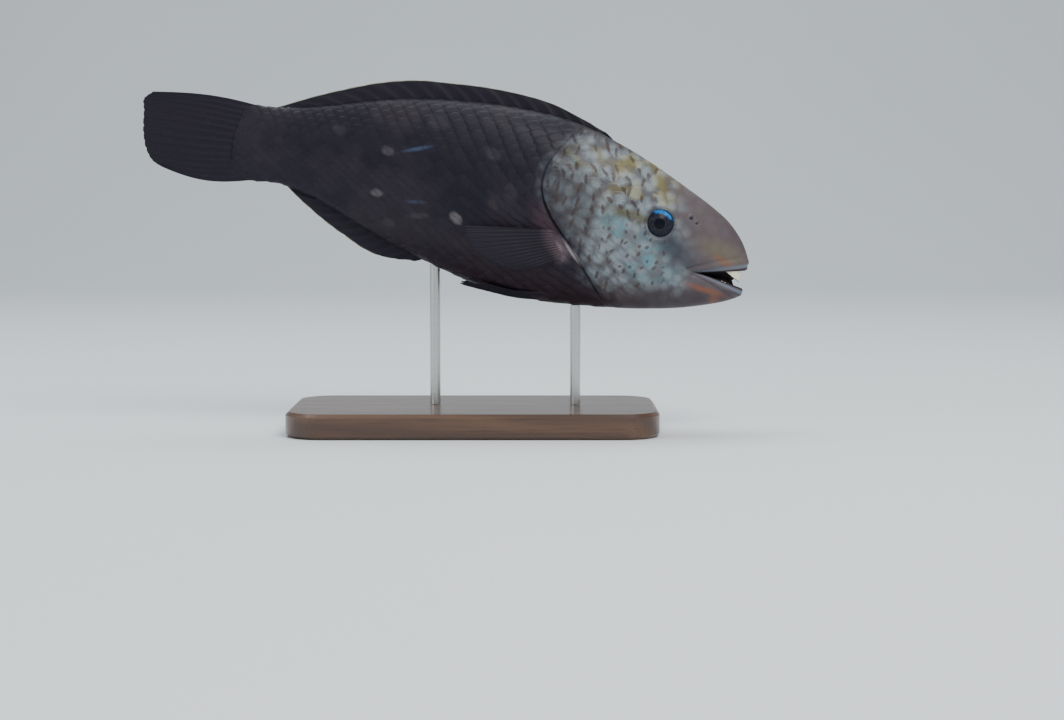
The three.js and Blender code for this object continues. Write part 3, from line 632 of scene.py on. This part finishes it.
def wood_finish():
    f = Finish("varnished_wood", IOR=1.5, Coat_Weight=0.4, Coat_Roughness=0.15)
    x, y, z = f.split(f.place_on_piece())
    drift = f.noise(f.vector(x * 4.0, y * 30.0, z * 30.0), 1.0, 3.0)
    rings = ((y * 60.0 + z * 35.0 + drift * 3.2) * 6.283).math("SINE") * 0.5 + 0.5
    pores = f.noise(f.vector(x * 40.0, y * 1400.0, z * 1400.0), 1.0, 2.0)
    colour = f.mix(rings, (0.055, 0.024, 0.012), (0.10, 0.046, 0.022))
    f.set("Base Color", f.mix(pores.rise(0.5, 0.75) * 0.6, colour, (0.025, 0.011, 0.006)))
    f.set("Roughness", 0.3 + pores * 0.2)
    f.bump(pores, 0.0002, 0.2)
    return f.material


def steel_finish():
    f = Finish("satin_steel", Metallic=1.0)
    x, y, z = f.split(f.place_on_piece())
    brushed = f.noise(f.vector(x * 300.0, y * 300.0, z * 9000.0), 1.0, 2.0)
    f.set("Base Color", f.mix(brushed, (0.52, 0.52, 0.51), (0.64, 0.64, 0.62)))
    f.set("Roughness", 0.22 + brushed * 0.16)
    return f.material


def floor_finish():
    f = Finish("pale_floor", Roughness=0.75)
    place = f.place_on_piece()
    cloud = f.noise(place, 3.0, 2.0)
    f.set("Base Color", f.mix(cloud, (0.70, 0.74, 0.76), (0.74, 0.77, 0.79)))
    return f.material


fin_material = fin_finish()
beak_material = beak_finish()
floor.data.materials.append(floor_finish())
wood, steel = wood_finish(), steel_finish()
for node, material in (("stand_base", wood), ("stand_rod_front", steel), ("stand_rod_rear", steel)):
    mesh = frame["nodes"][node].data
    mesh.materials.clear()
    mesh.materials.append(material)
print("finishes:", sorted(material.name for material in bpy.data.materials))

# %% [markdown]
# ## The skin
# The skin is one grid of rows round the body and columns along it. Its rows are spread by length:
# some inside the mouth, most on head and body, and a few close ones at the gill opening. The gill
# cover's edge so falls on one row and stays sharp; an even grid would blur it.

# %% the grid of the skin
COLUMNS = 240
COAT = 0.35  # millimetres that the skin lies inside the scales' surface
GILL_LIFT = 1.2
GILL_BEFORE, GILL_BEHIND = 1.2, 1.8  # where the close rows of the gill opening start and end
TONGUE, TAIL_END = 5.6, 1.0  # how far the end tips lie ahead of the first and behind the last ring
phis = np.arange(COLUMNS) / COLUMNS * 2 * math.pi
ts = np.linspace(0, RINGS.shape[1] - 1, 1600)
raw = ring_point(ts[:, None], phis[None, :])
steps = np.linalg.norm(np.diff(raw, axis=0), axis=-1)
run = np.concatenate([np.zeros((1, COLUMNS)), np.cumsum(steps, 0)])
gap = ahead_of(gill_edge, raw[..., 0], raw[..., 2])
mouth_rows = np.linspace(0, 1, 26)[:-1]
head_rows = np.linspace(0, 1, 190)[:-1]
near_gill = np.array([-0.9, -0.6, -0.35, -0.15, 0.0, 0.12, 0.3, 0.6, 1.1, GILL_BEHIND])
body_rows = np.linspace(0, 1, 168)[1:]
row_t, row_run, gill_run, lip_run = [], [], [], []
for c in range(COLUMNS):
    lip_s = np.interp(LIP_RING, ts, run[:, c])
    behind = np.nonzero(gap[:, c] < 0)[0][0]
    gill_s = np.interp(0, gap[[behind, behind - 1], c], run[[behind, behind - 1], c])
    end_s = run[-1, c]
    where = np.concatenate([
        mouth_rows * lip_s,
        lip_s + head_rows * (gill_s - GILL_BEFORE - lip_s),
        gill_s + near_gill,
        gill_s + GILL_BEHIND + body_rows * (end_s - gill_s - GILL_BEHIND),
    ])
    row_t.append(np.interp(where, run[:, c], ts))
    row_run.append(where)
    gill_run.append(gill_s)
    lip_run.append(lip_s)
row_t = np.array(row_t).T
row_run = np.array(row_run).T
ahead = np.array(gill_run)[None, :] - row_run
past_lip = row_run - np.array(lip_run)[None, :]
ROWS = row_t.shape[0]
bare = ring_point(row_t, phis[None, :])
print("skin grid", ROWS, "rows by", COLUMNS, "columns")


def normals_of(grid):
    along = np.gradient(grid, axis=0)
    round_ = (np.roll(grid, -1, 1) - np.roll(grid, 1, 1)) / 2
    n = np.cross(along, round_)
    n /= np.linalg.norm(n, axis=-1, keepdims=True) + 1e-12
    return n * np.sign(n[ROWS // 2, COLUMNS // 4, 1])


# %% [markdown]
# The forms of the head are low: a gill cover that lifts towards its edge, the furrow where the
# cheek ends, the eye socket's rim, nostrils and lips. They could be sculpted; here each is a
# height in millimetres over the rings, so that it lies where the measured model has it.

# %% forms of the head
def fold(distance, width):
    """1 on a line in the skin, falling to 0 at a given width from it."""
    return smooth(1 - np.abs(distance) / width)


def over_cover(up):
    """1 at the heights of the gill cover, falling to 0 above and below it."""
    return smooth((up + 37) / 9) * smooth((30 - up) / 9)


back, left, up = np.moveaxis(bare, -1, 0)
bare_normals = normals_of(bare)
eye_far = np.hypot(back - EYE["back"], up - EYE["up"])
to_cheek = ahead_of(cheek_edge, back, up)
on_side = smooth((np.abs(left) - 3) / 4)
on_cover = over_cover(up)
behind_gill = ahead < 0
cover = GILL_LIFT * smooth(1 - ahead / 24) * on_cover
cover = cover * np.where(ahead < 0.7, 1 - 0.35 * (1 - np.clip(ahead, 0, 0.7) / 0.7) ** 2, 1)
shoulder = -0.55 * smooth(1 + ahead / 2.6) * on_cover
relief = np.where(behind_gill, shoulder, cover)
relief += (0.3 * fold(to_cheek - 1.4, 3.0) - 0.55 * fold(to_cheek + 0.7, 2.0)) * on_side
socket = 1.5 * smooth(1 - (eye_far - 5.1) / 3.0)
relief += (0.4 * fold(eye_far - 8.5, 1.5) - 0.22 * fold(eye_far - 10.8, 2.2) - socket) * on_side
pit = np.zeros_like(relief)
for b, u, r in NOSTRILS:
    d = np.hypot(back - b, up - u)
    pit = np.maximum(pit, smooth(1.35 - d / r) * on_side)
    relief += 0.22 * fold(d - 1.7 * r, 0.8 * r) * on_side
relief -= 1.0 * pit
lip = fold(past_lip - 0.1, 1.5)
relief += 0.2 * fold(past_lip - 1.6, 1.9) - 0.3 * fold(past_lip + 0.2, 1.3)
relief -= 0.5 * fold(past_lip - 4.4, 1.7) * smooth(np.abs(left) / 5)
mouth_corner = np.exp(-(((back - 26.5) / 3.0) ** 2) - ((up + 10.5) / 1.2) ** 2)
relief -= 0.5 * mouth_corner * on_side
relief -= COAT * (1 - smooth((ahead - 12) / 30))
# Where the skin lies inside the lips it gets painted shade.
mouth = smooth((-past_lip - 0.6) / 1.0)
# Painted shade under the gill cover: strongest at its edge, fading 2 mm behind it and 0.5 mm ahead.
painted_gill_shade = np.where(behind_gill, smooth(1 + ahead / 2.0), smooth(1 - ahead / 0.5) * 0.6) * on_cover
skin_grid = bare + bare_normals * relief[..., None]
skin_normals = normals_of(skin_grid)
print("heights of the skin's forms", relief.min().round(2), "to", relief.max().round(2))

# %% [markdown]
# Every piece is made from a grid of points by the same few steps, with the attributes that its
# finish reads. A thin plate, such as a fin or a beak, is two sheets with a closed rim.

# %% pieces from grids
def mesh_object(name, points, faces, material, attributes=(), uvs=None):
    """An object from points in straight-fish millimetres, with its attributes."""
    mesh = bpy.data.meshes.new(name)
    mesh.from_pydata(posed(points).tolist(), [], [list(map(int, f)) for f in faces])
    measures = mesh.attributes.new("fish", "FLOAT_VECTOR", "POINT")
    measures.data.foreach_set("vector", (np.asarray(points) / 10).astype(np.float32).ravel())
    for key, values in attributes:
        layer = mesh.attributes.new(key, "FLOAT", "POINT")
        layer.data.foreach_set("value", np.asarray(values, np.float32).ravel())
    if uvs is not None:
        layer = mesh.uv_layers.new(name="OFBake")
        layer.data.foreach_set("uv", np.asarray(uvs, np.float32).ravel())
    mesh.materials.append(material)
    obj = add_object(name, mesh)
    mesh.validate()
    bpy.ops.object.select_all(action="DESELECT")
    obj.select_set(True)
    bpy.context.view_layer.objects.active = obj
    bpy.ops.object.shade_smooth()
    return obj


def grid_faces(rows, columns, wrap):
    """Four-sided faces of a grid; wrap joins its last column to its first."""
    r, c = np.meshgrid(np.arange(rows - 1), np.arange(columns if wrap else columns - 1), indexing="ij")
    here, beside = r * columns + c, r * columns + (c + 1) % columns
    return np.stack([here, beside, beside + columns, here + columns], -1).reshape(-1, 4)


def face_outward():
    """Turns the faces of the piece in hand so that all look outward."""
    bpy.ops.object.mode_set(mode="EDIT")
    bpy.ops.mesh.select_all(action="SELECT")
    bpy.ops.mesh.normals_make_consistent(inside=False)
    bpy.ops.object.mode_set(mode="OBJECT")


def plate(name, node, middle, thick, material, attributes=()):
    """A closed thin plate round a middle sheet, which replaces a node of the measured model."""
    rows, columns = thick.shape
    n = np.cross(np.gradient(middle, axis=1), np.gradient(middle, axis=0))
    n /= np.linalg.norm(n, axis=-1, keepdims=True) + 1e-12
    half = n * thick[..., None] / 2
    both = np.vstack([(middle + half).reshape(-1, 3), (middle - half).reshape(-1, 3)])
    count = rows * columns
    grid = np.arange(count).reshape(rows, columns)
    loop = np.concatenate([grid[0, :], grid[1:, -1], grid[-1, -2::-1], grid[-2:0:-1, 0]])
    rim = [[b, a, a + count, b + count] for a, b in zip(loop, np.roll(loop, -1))]
    sheet = grid_faces(rows, columns, wrap=False)
    faces = np.vstack([sheet, sheet[:, ::-1] + count, rim])
    twice = [(key, np.tile(np.broadcast_to(values, thick.shape).ravel(), 2)) for key, values in attributes]
    obj = mesh_object(name, both, faces, material, twice)
    face_outward()
    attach(obj, "root")
    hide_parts(node)
    print(name, len(obj.data.polygons), "faces")


# %% [markdown]
# The skin closes at the tongue and inside the tail fin, each end with a fan of faces round a tip.
# Its unwrap for baking runs along the fish one way and round it the other.

# %% the skin
UV_EDGE = 0.01  # margin of the unwrap


def within_unwrap(share):
    return share * (1 - 2 * UV_EDGE) + UV_EDGE


skin_faces = grid_faces(ROWS, COLUMNS, wrap=True)
length_share = (row_run / row_run[-1]).ravel()
columns_of = np.tile(np.arange(COLUMNS), ROWS - 1)
uv = np.empty((len(skin_faces), 4, 2))
uv[:, :, 0] = within_unwrap(length_share[skin_faces])
uv[:, 0, 1] = uv[:, 3, 1] = within_unwrap(columns_of / COLUMNS)
uv[:, 1, 1] = uv[:, 2, 1] = within_unwrap((columns_of + 1) / COLUMNS)
ends = [skin_grid[0].mean(0) - [TONGUE, 0, 0], skin_grid[-1].mean(0) + [TAIL_END, 0, 0]]
points = np.vstack([skin_grid.reshape(-1, 3), ends])
front_cap = (0, len(points) - 2, UV_EDGE, 0.004)  # row, tip, and where both lie on the unwrap
rear_cap = (ROWS - 1, len(points) - 1, 1 - UV_EDGE, 0.996)
caps, cap_uv = [], []
for row, tip, ring_u, tip_u in (front_cap, rear_cap):
    for c in range(COLUMNS):
        a, b = row * COLUMNS + c, row * COLUMNS + (c + 1) % COLUMNS
        caps.append([b, a, tip] if row == 0 else [a, b, tip])
        cap_uv.append([[ring_u, c / COLUMNS], [ring_u, c / COLUMNS], [tip_u, c / COLUMNS]])
faces = skin_faces.tolist() + caps
uvs = np.concatenate([uv.reshape(-1, 2), np.array(cap_uv).reshape(-1, 2)])


def with_ends(values, first=0.0, last=0.0):
    return np.concatenate([np.asarray(values).ravel(), [first, last]])


skin = mesh_object(
    "skin", points, faces, skin_material,
    [
        ("ahead", with_ends(ahead / 10, 8, -15)), ("lip", with_ends(lip)), ("pit", with_ends(pit)),
        ("mouth", with_ends(mouth, 1, 0)), ("painted_gill_shade", with_ends(painted_gill_shade)),
    ],
    uvs,
)
print("skin faces", len(skin.data.polygons))
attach(skin, "root")
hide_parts("head", "lower_jaw", "gill_cover_left", "gill_cover_right", "trunk", "tail_root")

# %% [markdown]
# ## The scales
# A parrotfish has few, large scales. One is a thin, curved plate whose rear edge stands free. A
# particle system could set them, but would not bend them to the body; instead one is laid out as
# a small grid, and each copy is bent to the skin.

# %% one scale
def scale_pattern(along, across):
    """Grid of one scale: x from its hidden front 0 to its free edge 1, y across it from -1 to 1."""
    x = np.linspace(0, 1, along) ** 0.85
    rounded = np.sqrt(np.clip(1 - ((x - 0.5) / 0.5) ** 2.6, 0.0, 1))
    wide = np.where(x < 0.5, mix(0.72, 1.0, smooth(x / 0.5)), rounded)
    y_share = np.linspace(-1, 1, across)[None, :]
    y = y_share * np.maximum(wide, 0.16)[:, None]
    x = np.repeat(x[:, None], across, 1)
    x = x - 0.10 * (y ** 2) * (x > 0.4)
    side_rim = smooth((np.abs(y_share) - 0.8) / 0.2) * smooth((x - 0.45) / 0.2)
    return x, y, np.maximum(smooth((x - 0.84) / 0.14), side_rim)


SCALE_X, SCALE_Y, SCALE_RIM = scale_pattern(along=9, across=7)
scale_shape = SCALE_X.shape
print("points of one scale", SCALE_X.size)

# %% [markdown]
# The rows of scales run along the body at even distances from the line of the mid-side, which is
# measured on the skin itself. A place in a row is found again on the skin by these two lengths.

# %% places on the skin
girth_step = np.linalg.norm(np.roll(skin_grid, -1, 1) - skin_grid, axis=-1)
side_column = COLUMNS // 4
half_columns = COLUMNS // 2
# Girth length of the left half from the mid-side, negative towards the back.
girth = np.concatenate([np.zeros((ROWS, 1)), np.cumsum(girth_step[:, :half_columns], 1)], 1)
girth = girth - girth[:, side_column][:, None]
side_run = row_run[:, side_column] - gill_run[side_column]
row_index = np.arange(ROWS)


def on_skin(x_mm, g_mm, height, mirror):
    """Point x behind the gill edge and g below the mid-side, raised by height, and its row."""
    row = np.interp(x_mm, side_run, row_index)
    low_row = np.clip(np.floor(row).astype(int), 0, ROWS - 2)
    f = (row - low_row)[..., None]
    steps = np.arange(half_columns + 1)
    found = [np.interp(g, girth[r], steps) for r, g in zip(low_row.ravel(), g_mm.ravel())]
    column = np.array(found).reshape(row.shape)
    low_col = np.clip(np.floor(column).astype(int), 0, half_columns - 1)
    h = (column - low_col)[..., None]

    def sample(grid):
        near = mix(grid[low_row, low_col], grid[low_row, (low_col + 1) % COLUMNS], h)
        far = mix(grid[low_row + 1, low_col], grid[low_row + 1, (low_col + 1) % COLUMNS], h)
        return mix(near, far, f)

    point = sample(skin_grid) + sample(skin_normals) * height[..., None]
    return point * [1, -1 if mirror else 1, 1], row


body_end = side_run[-1]
print("body length on the mid-side", round(float(body_end), 1))

# %% [markdown]
# Scales are set column by column, every second one shifted by half a row, as tiles on a roof. They
# get smaller towards the tail and keep clear of the eye, the snout and the gill opening. Small
# random differences keep them from looking stamped.

# %% all the scales
LARGEST, SMALLEST, ON_HEAD = 8.6, 5.0, 7.4  # widths of a row at the shoulder, tail and head
EYE_CLEAR = 9.4
UV_PATCH = 0.003


def size_at(x):
    """Width of a row of scales at x behind the gill edge, in millimetres."""
    share = np.clip(x / body_end, 0, 1)
    return float(np.where(x < 0, ON_HEAD, mix(LARGEST, SMALLEST, share ** 1.1)))


def scale_columns(start, stop, direction):
    found, x = [], start
    while (x < stop) if direction > 0 else (x > stop):
        found.append(x)
        x += direction * size_at(x) * 0.5
    return found


scale_points, scale_faces, scale_uvs = [], [], []
scale_attributes = {"ahead": [], "rim": [], "tone": [], "painted_gill_shade": []}
pattern_faces = grid_faces(*scale_shape, wrap=False)
columns_x = [(x, k) for k, x in enumerate(scale_columns(1.5, body_end - 1.5, 1))]
columns_x += [(x, k + 1) for k, x in enumerate(scale_columns(-4.2, -46.0, -1))]
for mirror in (False, True):
    for x0, k in columns_x:
        size = size_at(x0)
        on_head = x0 < 0
        row_here = int(np.interp(x0, side_run, row_index))
        top, bottom = girth[row_here, 0], girth[row_here, -1]
        shift = 0.5 if k % 2 else 0.0
        first, last = math.ceil(top / size - shift), math.floor(bottom / size - shift)
        for j in range(first, last + 1):
            g0 = (j + shift) * size
            jitter = rng.normal(0, 0.02, 3)
            half = size * 0.56 * (1 + jitter[0])
            x = x0 + (SCALE_X - 0.62) * size * 1.5 * (1 + jitter[1])
            x = np.minimum(x, -0.9) if on_head else np.maximum(x, 0.35)
            g = np.clip(g0 + SCALE_Y * half, top + 0.02, bottom - 0.02)
            stand = 0.15 if on_head else 0.4
            height = stand * (SCALE_X * 1.5 - 0.5) - 0.1 * SCALE_Y ** 2
            height = height - 0.34 * (SCALE_RIM > 0.97)
            point, rows_at = on_skin(x, g, height, mirror)
            middle = point[scale_shape[0] // 2, scale_shape[1] // 2]
            if on_head:
                far = math.hypot(middle[0] - EYE["back"], middle[2] - EYE["up"])
                nearest = np.hypot(point[..., 0] - EYE["back"], point[..., 2] - EYE["up"]).min()
                on_snout = middle[0] < 50 and middle[2] < 22
                if nearest < EYE_CLEAR or far < 12 or on_snout:
                    continue
            base = sum(p.size // 3 for p in scale_points)
            scale_points.append(point.reshape(-1, 3))
            turned = pattern_faces[:, ::-1] if mirror else pattern_faces
            scale_faces.append(turned + base)
            scale_attributes["ahead"].append((-x / 10).ravel())
            scale_attributes["rim"].append(SCALE_RIM.ravel())
            scale_attributes["tone"].append(np.full(x.size, rng.random()))
            # Painted shade on the scales just behind the gill cover's edge.
            painted_shade_behind_gill = np.where(x < 0, 0, smooth(1 - (x - 0.35) / 2.0))
            scale_attributes["painted_gill_shade"].append((painted_shade_behind_gill * over_cover(point[..., 2])).ravel())
            home_u = np.interp(rows_at[0, 0], row_index, row_run[:, side_column] / row_run[-1, side_column])
            round_share = 0.25 + 0.25 * (g0 / max(abs(top), abs(bottom)))
            home_v = (-round_share if mirror else round_share) % 1.0
            patch_u = within_unwrap(home_u) + SCALE_X * UV_PATCH
            patch_v = within_unwrap(home_v) + (SCALE_Y * 0.5 + 0.5) * UV_PATCH
            patch = np.stack([patch_u, patch_v], -1).reshape(-1, 2)
            scale_uvs.append(patch[turned].reshape(-1, 2))
print("scales", len(scale_faces))
scales = mesh_object(
    "scales", np.vstack(scale_points), np.vstack(scale_faces), scale_material,
    [(k, np.concatenate(v)) for k, v in scale_attributes.items()], np.vstack(scale_uvs),
)
print("scale faces", len(scales.data.polygons))
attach(scales, "root")

# %% [markdown]
# ## Fins
# A fin is a thin membrane over rays that start in the flesh. Each ray is a low ridge on both faces
# that forks on its way out and is crossed by fine joints, and the edge is slightly ragged. Rays
# could be rods laid on a sheet; here the sheet itself swells along them, so that a fin stays one
# closed piece.

# %% one fin
RAY_COLUMNS = 12
FULL_REACH = 0.99  # share of the way to the tip line that the longest rays go


def fin(name, node, rays, rows, root, tip, bow, stem, web, fork, border=0.0, pink=0.0, notch=0.025, slim=0.0):
    """A fin between two lines. stem and web are its thickness on and between rays, at root and
    tip; fork is how wide rays fork, notch how deep the edge dips between them, and slim how much
    thinner the root's two ends are."""
    columns = rays * RAY_COLUMNS
    v = np.linspace(0, 1, columns)[None, :]
    w = np.linspace(0, 1, rows)[:, None]
    ray = v * (rays - 1)
    off = np.abs(ray - np.round(ray)) * 2
    ragged = FULL_REACH - notch * smooth(off * 1.6 - 0.6) + rng.normal(0, 0.0012, columns)[None, :]
    reach = w * ragged
    middle = mix(root(v), tip(v), reach[..., None]) + bow(v, reach)
    spread = fork * (smooth((reach - 0.35) / 0.35) * 0.3 + smooth((reach - 0.7) / 0.25) * 0.12)
    wide = mix(0.42, 0.16, smooth(reach * 1.5) * fork)
    crest = np.exp(-(((off - spread) / wide) ** 2))
    joints = 1 - 0.16 * (np.sin(reach * 150) > 0.75) * smooth((reach - 0.25) / 0.2)
    on_ray, between_rays = mix(stem[0], stem[1], reach), mix(web[0], web[1], reach)
    thick = between_rays + crest * joints * (on_ray - between_rays)
    thick = thick * np.where(reach > 0.97, 0.6, 1) * (1 - slim * np.abs(2 * v - 1) ** 4 * (1 - reach))
    marks = [("crest", crest), ("reach", reach / FULL_REACH), ("border", border), ("pink", pink)]
    plate(name, node, middle, thick, fin_material, marks)


# %% [markdown]
# The fins of the back and belly are folded low, with their rays leaning well back, and reach as
# high over the skin as the measured fins do.

# %% fins of back and belly
ROOT_DEPTH = 3.6


def outline_up(edge, back):
    """Height of the back or the belly at a distance behind the snout."""
    t = np.linspace(LIP_RING, RINGS.shape[1] - 1, 900)
    b, u = (0, 1) if edge == "top" else (4, 5)
    return np.interp(back, through(RINGS[b], t), through(RINGS[u], t))


def folded_fin(name, node, edge, roots, tips, rays, heights, stem):
    """heights are the fin's heights over the skin at equal steps from first to last ray."""
    away = 1 if edge == "top" else -1

    def root(v):
        back = mix(*roots, v)
        return points_at(back, 0, outline_up(edge, back) - away * ROOT_DEPTH)

    def tip(v):
        back = mix(*tips, v)
        height = through(heights, v * (len(heights) - 1))
        return points_at(back, 0, outline_up(edge, back) + away * height)

    def bow(v, w):
        return points_at(0, 0.25 * np.sin(v * 40) * w, away * 1.4 * np.sin(math.pi * w))

    fin(name, node, rays, 36, root, tip, bow, stem, (1.0, 0.3), 0.5, border=1.0)


folded_fin("dorsal_sail", "dorsal_fin", "top", (74, 221), (84, 240), 19,
           [0.8, 2.6, 4.8, 6.0, 6.8, 7.4, 7.8, 8.6, 8.7, 7.9, 6.4, 3.6, -0.8], (1.8, 0.5))
folded_fin("anal_sail", "anal_fin", "bottom", (150, 208), (158, 227), 12,
           [2.2, 6.6, 8.6, 8.1, 7, 4, -1.2], (1.8, 0.6))

# %% [markdown]
# The tail fin is closed to a paddle. Its rays start under the skin, where the fin is thin at both
# ends so that it stays inside, and reach a curved rear edge.

# %% tail fin
TAIL_ROOT, TAIL_LOW, TAIL_HIGH = 241.0, -19.8, 15.2
TAIL_EDGE = np.array([
    [286, -24.6], [291.5, -22.8], [296, -17.6], [299.2, -9.4], [301, -1], [302.5, 4.6], [299, 9],
])


def tail_root(v):
    return points_at(TAIL_ROOT, 0, mix(TAIL_LOW, TAIL_HIGH, v))


def tail_tip(v):
    t = v * (len(TAIL_EDGE) - 1)
    return points_at(through(TAIL_EDGE[:, 0], t), 0, through(TAIL_EDGE[:, 1], t))


def tail_bow(v, w):
    return points_at(0, 0.5 * np.sin(v * 9) * w, mix(-3.6, 2.4, v) * np.sin(math.pi * w))


fin("tail_fan", "caudal_fin", 15, 90, tail_root, tail_tip, tail_bow, (4.4, 0.65), (3.6, 0.3), 1.0,
    notch=0.006, slim=0.72)

# %% [markdown]
# The paired fins fan out between a first and a last ray, each given by its root and its way. The
# pectoral fins, with a pink base, lie along the flank, and the pelvic fins under the belly.

# %% paired fins
def paired_fin(name, node, side, rays, rows, first, last, lengths, bow, pink):
    (start, ahead_way), (end, behind_way) = np.array([first, last]) * [1, side, 1]

    def root(v):
        return mix(start, end, v[..., None])

    def tip(v):
        way = mix(ahead_way, behind_way, v[..., None])
        way = way / np.linalg.norm(way, axis=-1, keepdims=True)
        return root(v) + way * through(lengths, v * (len(lengths) - 1))[..., None]

    def curve(v, w):
        return points_at(0, side * bow[0] * np.sin(math.pi * w), bow[1] * np.sin(math.pi * w))

    fin(name, node, rays, rows, root, tip, curve, (1.9, 0.55), (1.0, 0.28), 1.0, pink=pink)


for word, side in (("left", 1), ("right", -1)):
    paired_fin("pectoral_sail_" + word, "pectoral_fin_" + word, side, 13, 70,
               ([93, 17.6, -5.5], [0.95, 0.2, -0.2]), ([88, 16.6, -17.5], [0.8, 0.3, -0.52]),
               [46, 46, 43, 37, 30, 22], (2, 0), 1.0)
    paired_fin("pelvic_sail_" + word, "pelvic_fin_" + word, side, 6, 60,
               ([85, 8.6, -34.6], [0.985, 0.05, -0.13]), ([90, 3.4, -38.6], [0.985, 0.01, -0.13]),
               [34, 44, 46, 43, 36, 28], (0, -1.6), 0.3)

# %% [markdown]
# ## Eyes
# The eye is a low dome set in its socket. Its finish goes by the distance to the eye's middle in
# millimetres: a black pupil in a thin bronze ring, a dark iris, and a painted highlight, a bright
# blue crescent along the upper rim, all under a clear wet coat. A clear dome over a flat iris
# would be truer, but from this far one dome looks the same.

# %% finish of the eyes
def eye_finish():
    f = Finish("wet_eye", IOR=1.34, Coat_Weight=0.12, Coat_Roughness=0.03, Coat_IOR=1.34,
               Roughness=0.35, Specular_IOR_Level=0.1)
    place = f.attribute("fish", "Vector")
    back, _, up = f.split(place)
    db, du = (back - EYE["back"] / 10) * 10, (up - EYE["up"] / 10) * 10
    far = (db * db + du * du) ** 0.5
    streaks = f.noise(place, 9.0, 4.0, 0.6)
    colour = f.mix(streaks.rise(0.35, 0.7), (0.012, 0.013, 0.021), (0.026, 0.027, 0.038))
    # Painted highlight: a bright blue crescent along the eye's upper rim.
    lit = (du - db * 0.15).rise(3.3, 4.8) * far.rise(4.3, 5.3)
    colour = f.mix(lit, colour, f.mix(streaks.rise(0.4, 0.65), (0.004, 0.11, 0.46), (0.015, 0.26, 0.58)))
    ring = far.rise(2.5, 2.8) * far.rise(3.4, 3.1)
    colour = f.mix(ring * 0.35, colour, (0.034, 0.029, 0.024))
    colour = f.mix(far.rise(2.75, 2.55), colour, (0.005, 0.006, 0.010))
    colour = f.mix(far.rise(6.2, 6.7), colour, (0.012, 0.011, 0.013))
    f.set("Base Color", colour)
    return f.material


eye_material = eye_finish()

# %% eyes
AROUND, DOWN = 64, 38  # points of a ring round the eye's axis, and rings between its poles
LENS = 0.05  # how far the lens stands out over the dome, as a share of its depth
a = np.linspace(0, 2 * math.pi, AROUND, endpoint=False)[None, :]
b = np.linspace(0, math.pi, DOWN + 2)[1:-1, None]
out = EYE["depth"] * np.cos(b) * (1 + LENS * smooth((np.cos(b) - 0.86) / 0.1))
wide = EYE["radius"] * np.sin(b)
dome = points_at(wide * np.cos(a), out, wide * np.sin(a))
poles = [[0, EYE["depth"] * (1 + LENS), 0], [0, -EYE["depth"], 0]]
ball = np.vstack([dome.reshape(-1, 3), poles])
outer_pole, inner_pole = DOWN * AROUND, DOWN * AROUND + 1
last_ring = (DOWN - 1) * AROUND
faces = grid_faces(DOWN, AROUND, wrap=True).tolist()
for c in range(AROUND):
    n = (c + 1) % AROUND
    faces.append([n, c, outer_pole])
    faces.append([last_ring + c, last_ring + n, inner_pole])
for word, side in (("left", 1), ("right", -1)):
    points = ball * [1, side, 1] + [EYE["back"], side * EYE["out"], EYE["up"]]
    eyeball = mesh_object("eyeball_" + word, points, faces, eye_material)
    face_outward()
    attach(eyeball, "root")
    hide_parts("eye_" + word)
    print("eyeball", word, len(faces), "faces")

# %% [markdown]
# ## Beak
# The teeth of a parrotfish are fused into two plates. Each is a curved band round the front of a
# jaw, thick at its root and sharp at its edge, with a low bump for each tooth.

# %% beak
TEETH = 14  # to a plate
LEAN = 1.0  # how far the root of a plate stands behind its edge


def beak(name, node, front, half_width, length, root, edge, thick):
    """root and edge are the plate's heights at its front and at its rear ends."""
    columns, rows = 96, 26
    v = np.linspace(0, 1, columns)[None, :]
    w = np.linspace(0, 1, rows)[:, None]
    turn = (v - 0.5) * math.pi
    rear = 1 - np.cos(turn)
    teeth = np.abs(np.sin(v * math.pi * TEETH))
    up = mix(mix(*root, rear), mix(*edge, rear) * (1 - 0.02 * (1 - teeth)), w)
    middle = points_at(front + LEAN * (1 - w) + length * rear, half_width * np.sin(turn), up)
    plate(name, node, middle, mix(thick, 0.7, w) * (0.9 + 0.1 * teeth), beak_material)


beak("upper_teeth", "beak_upper", 2.8, 5.2, 9, (3, -2.2), (-8.7, -4.8), 1.9)
beak("lower_teeth", "beak_lower", 2.9, 5.5, 8.6, (-16, -12.5), (-11.4, -10.1), 1.6)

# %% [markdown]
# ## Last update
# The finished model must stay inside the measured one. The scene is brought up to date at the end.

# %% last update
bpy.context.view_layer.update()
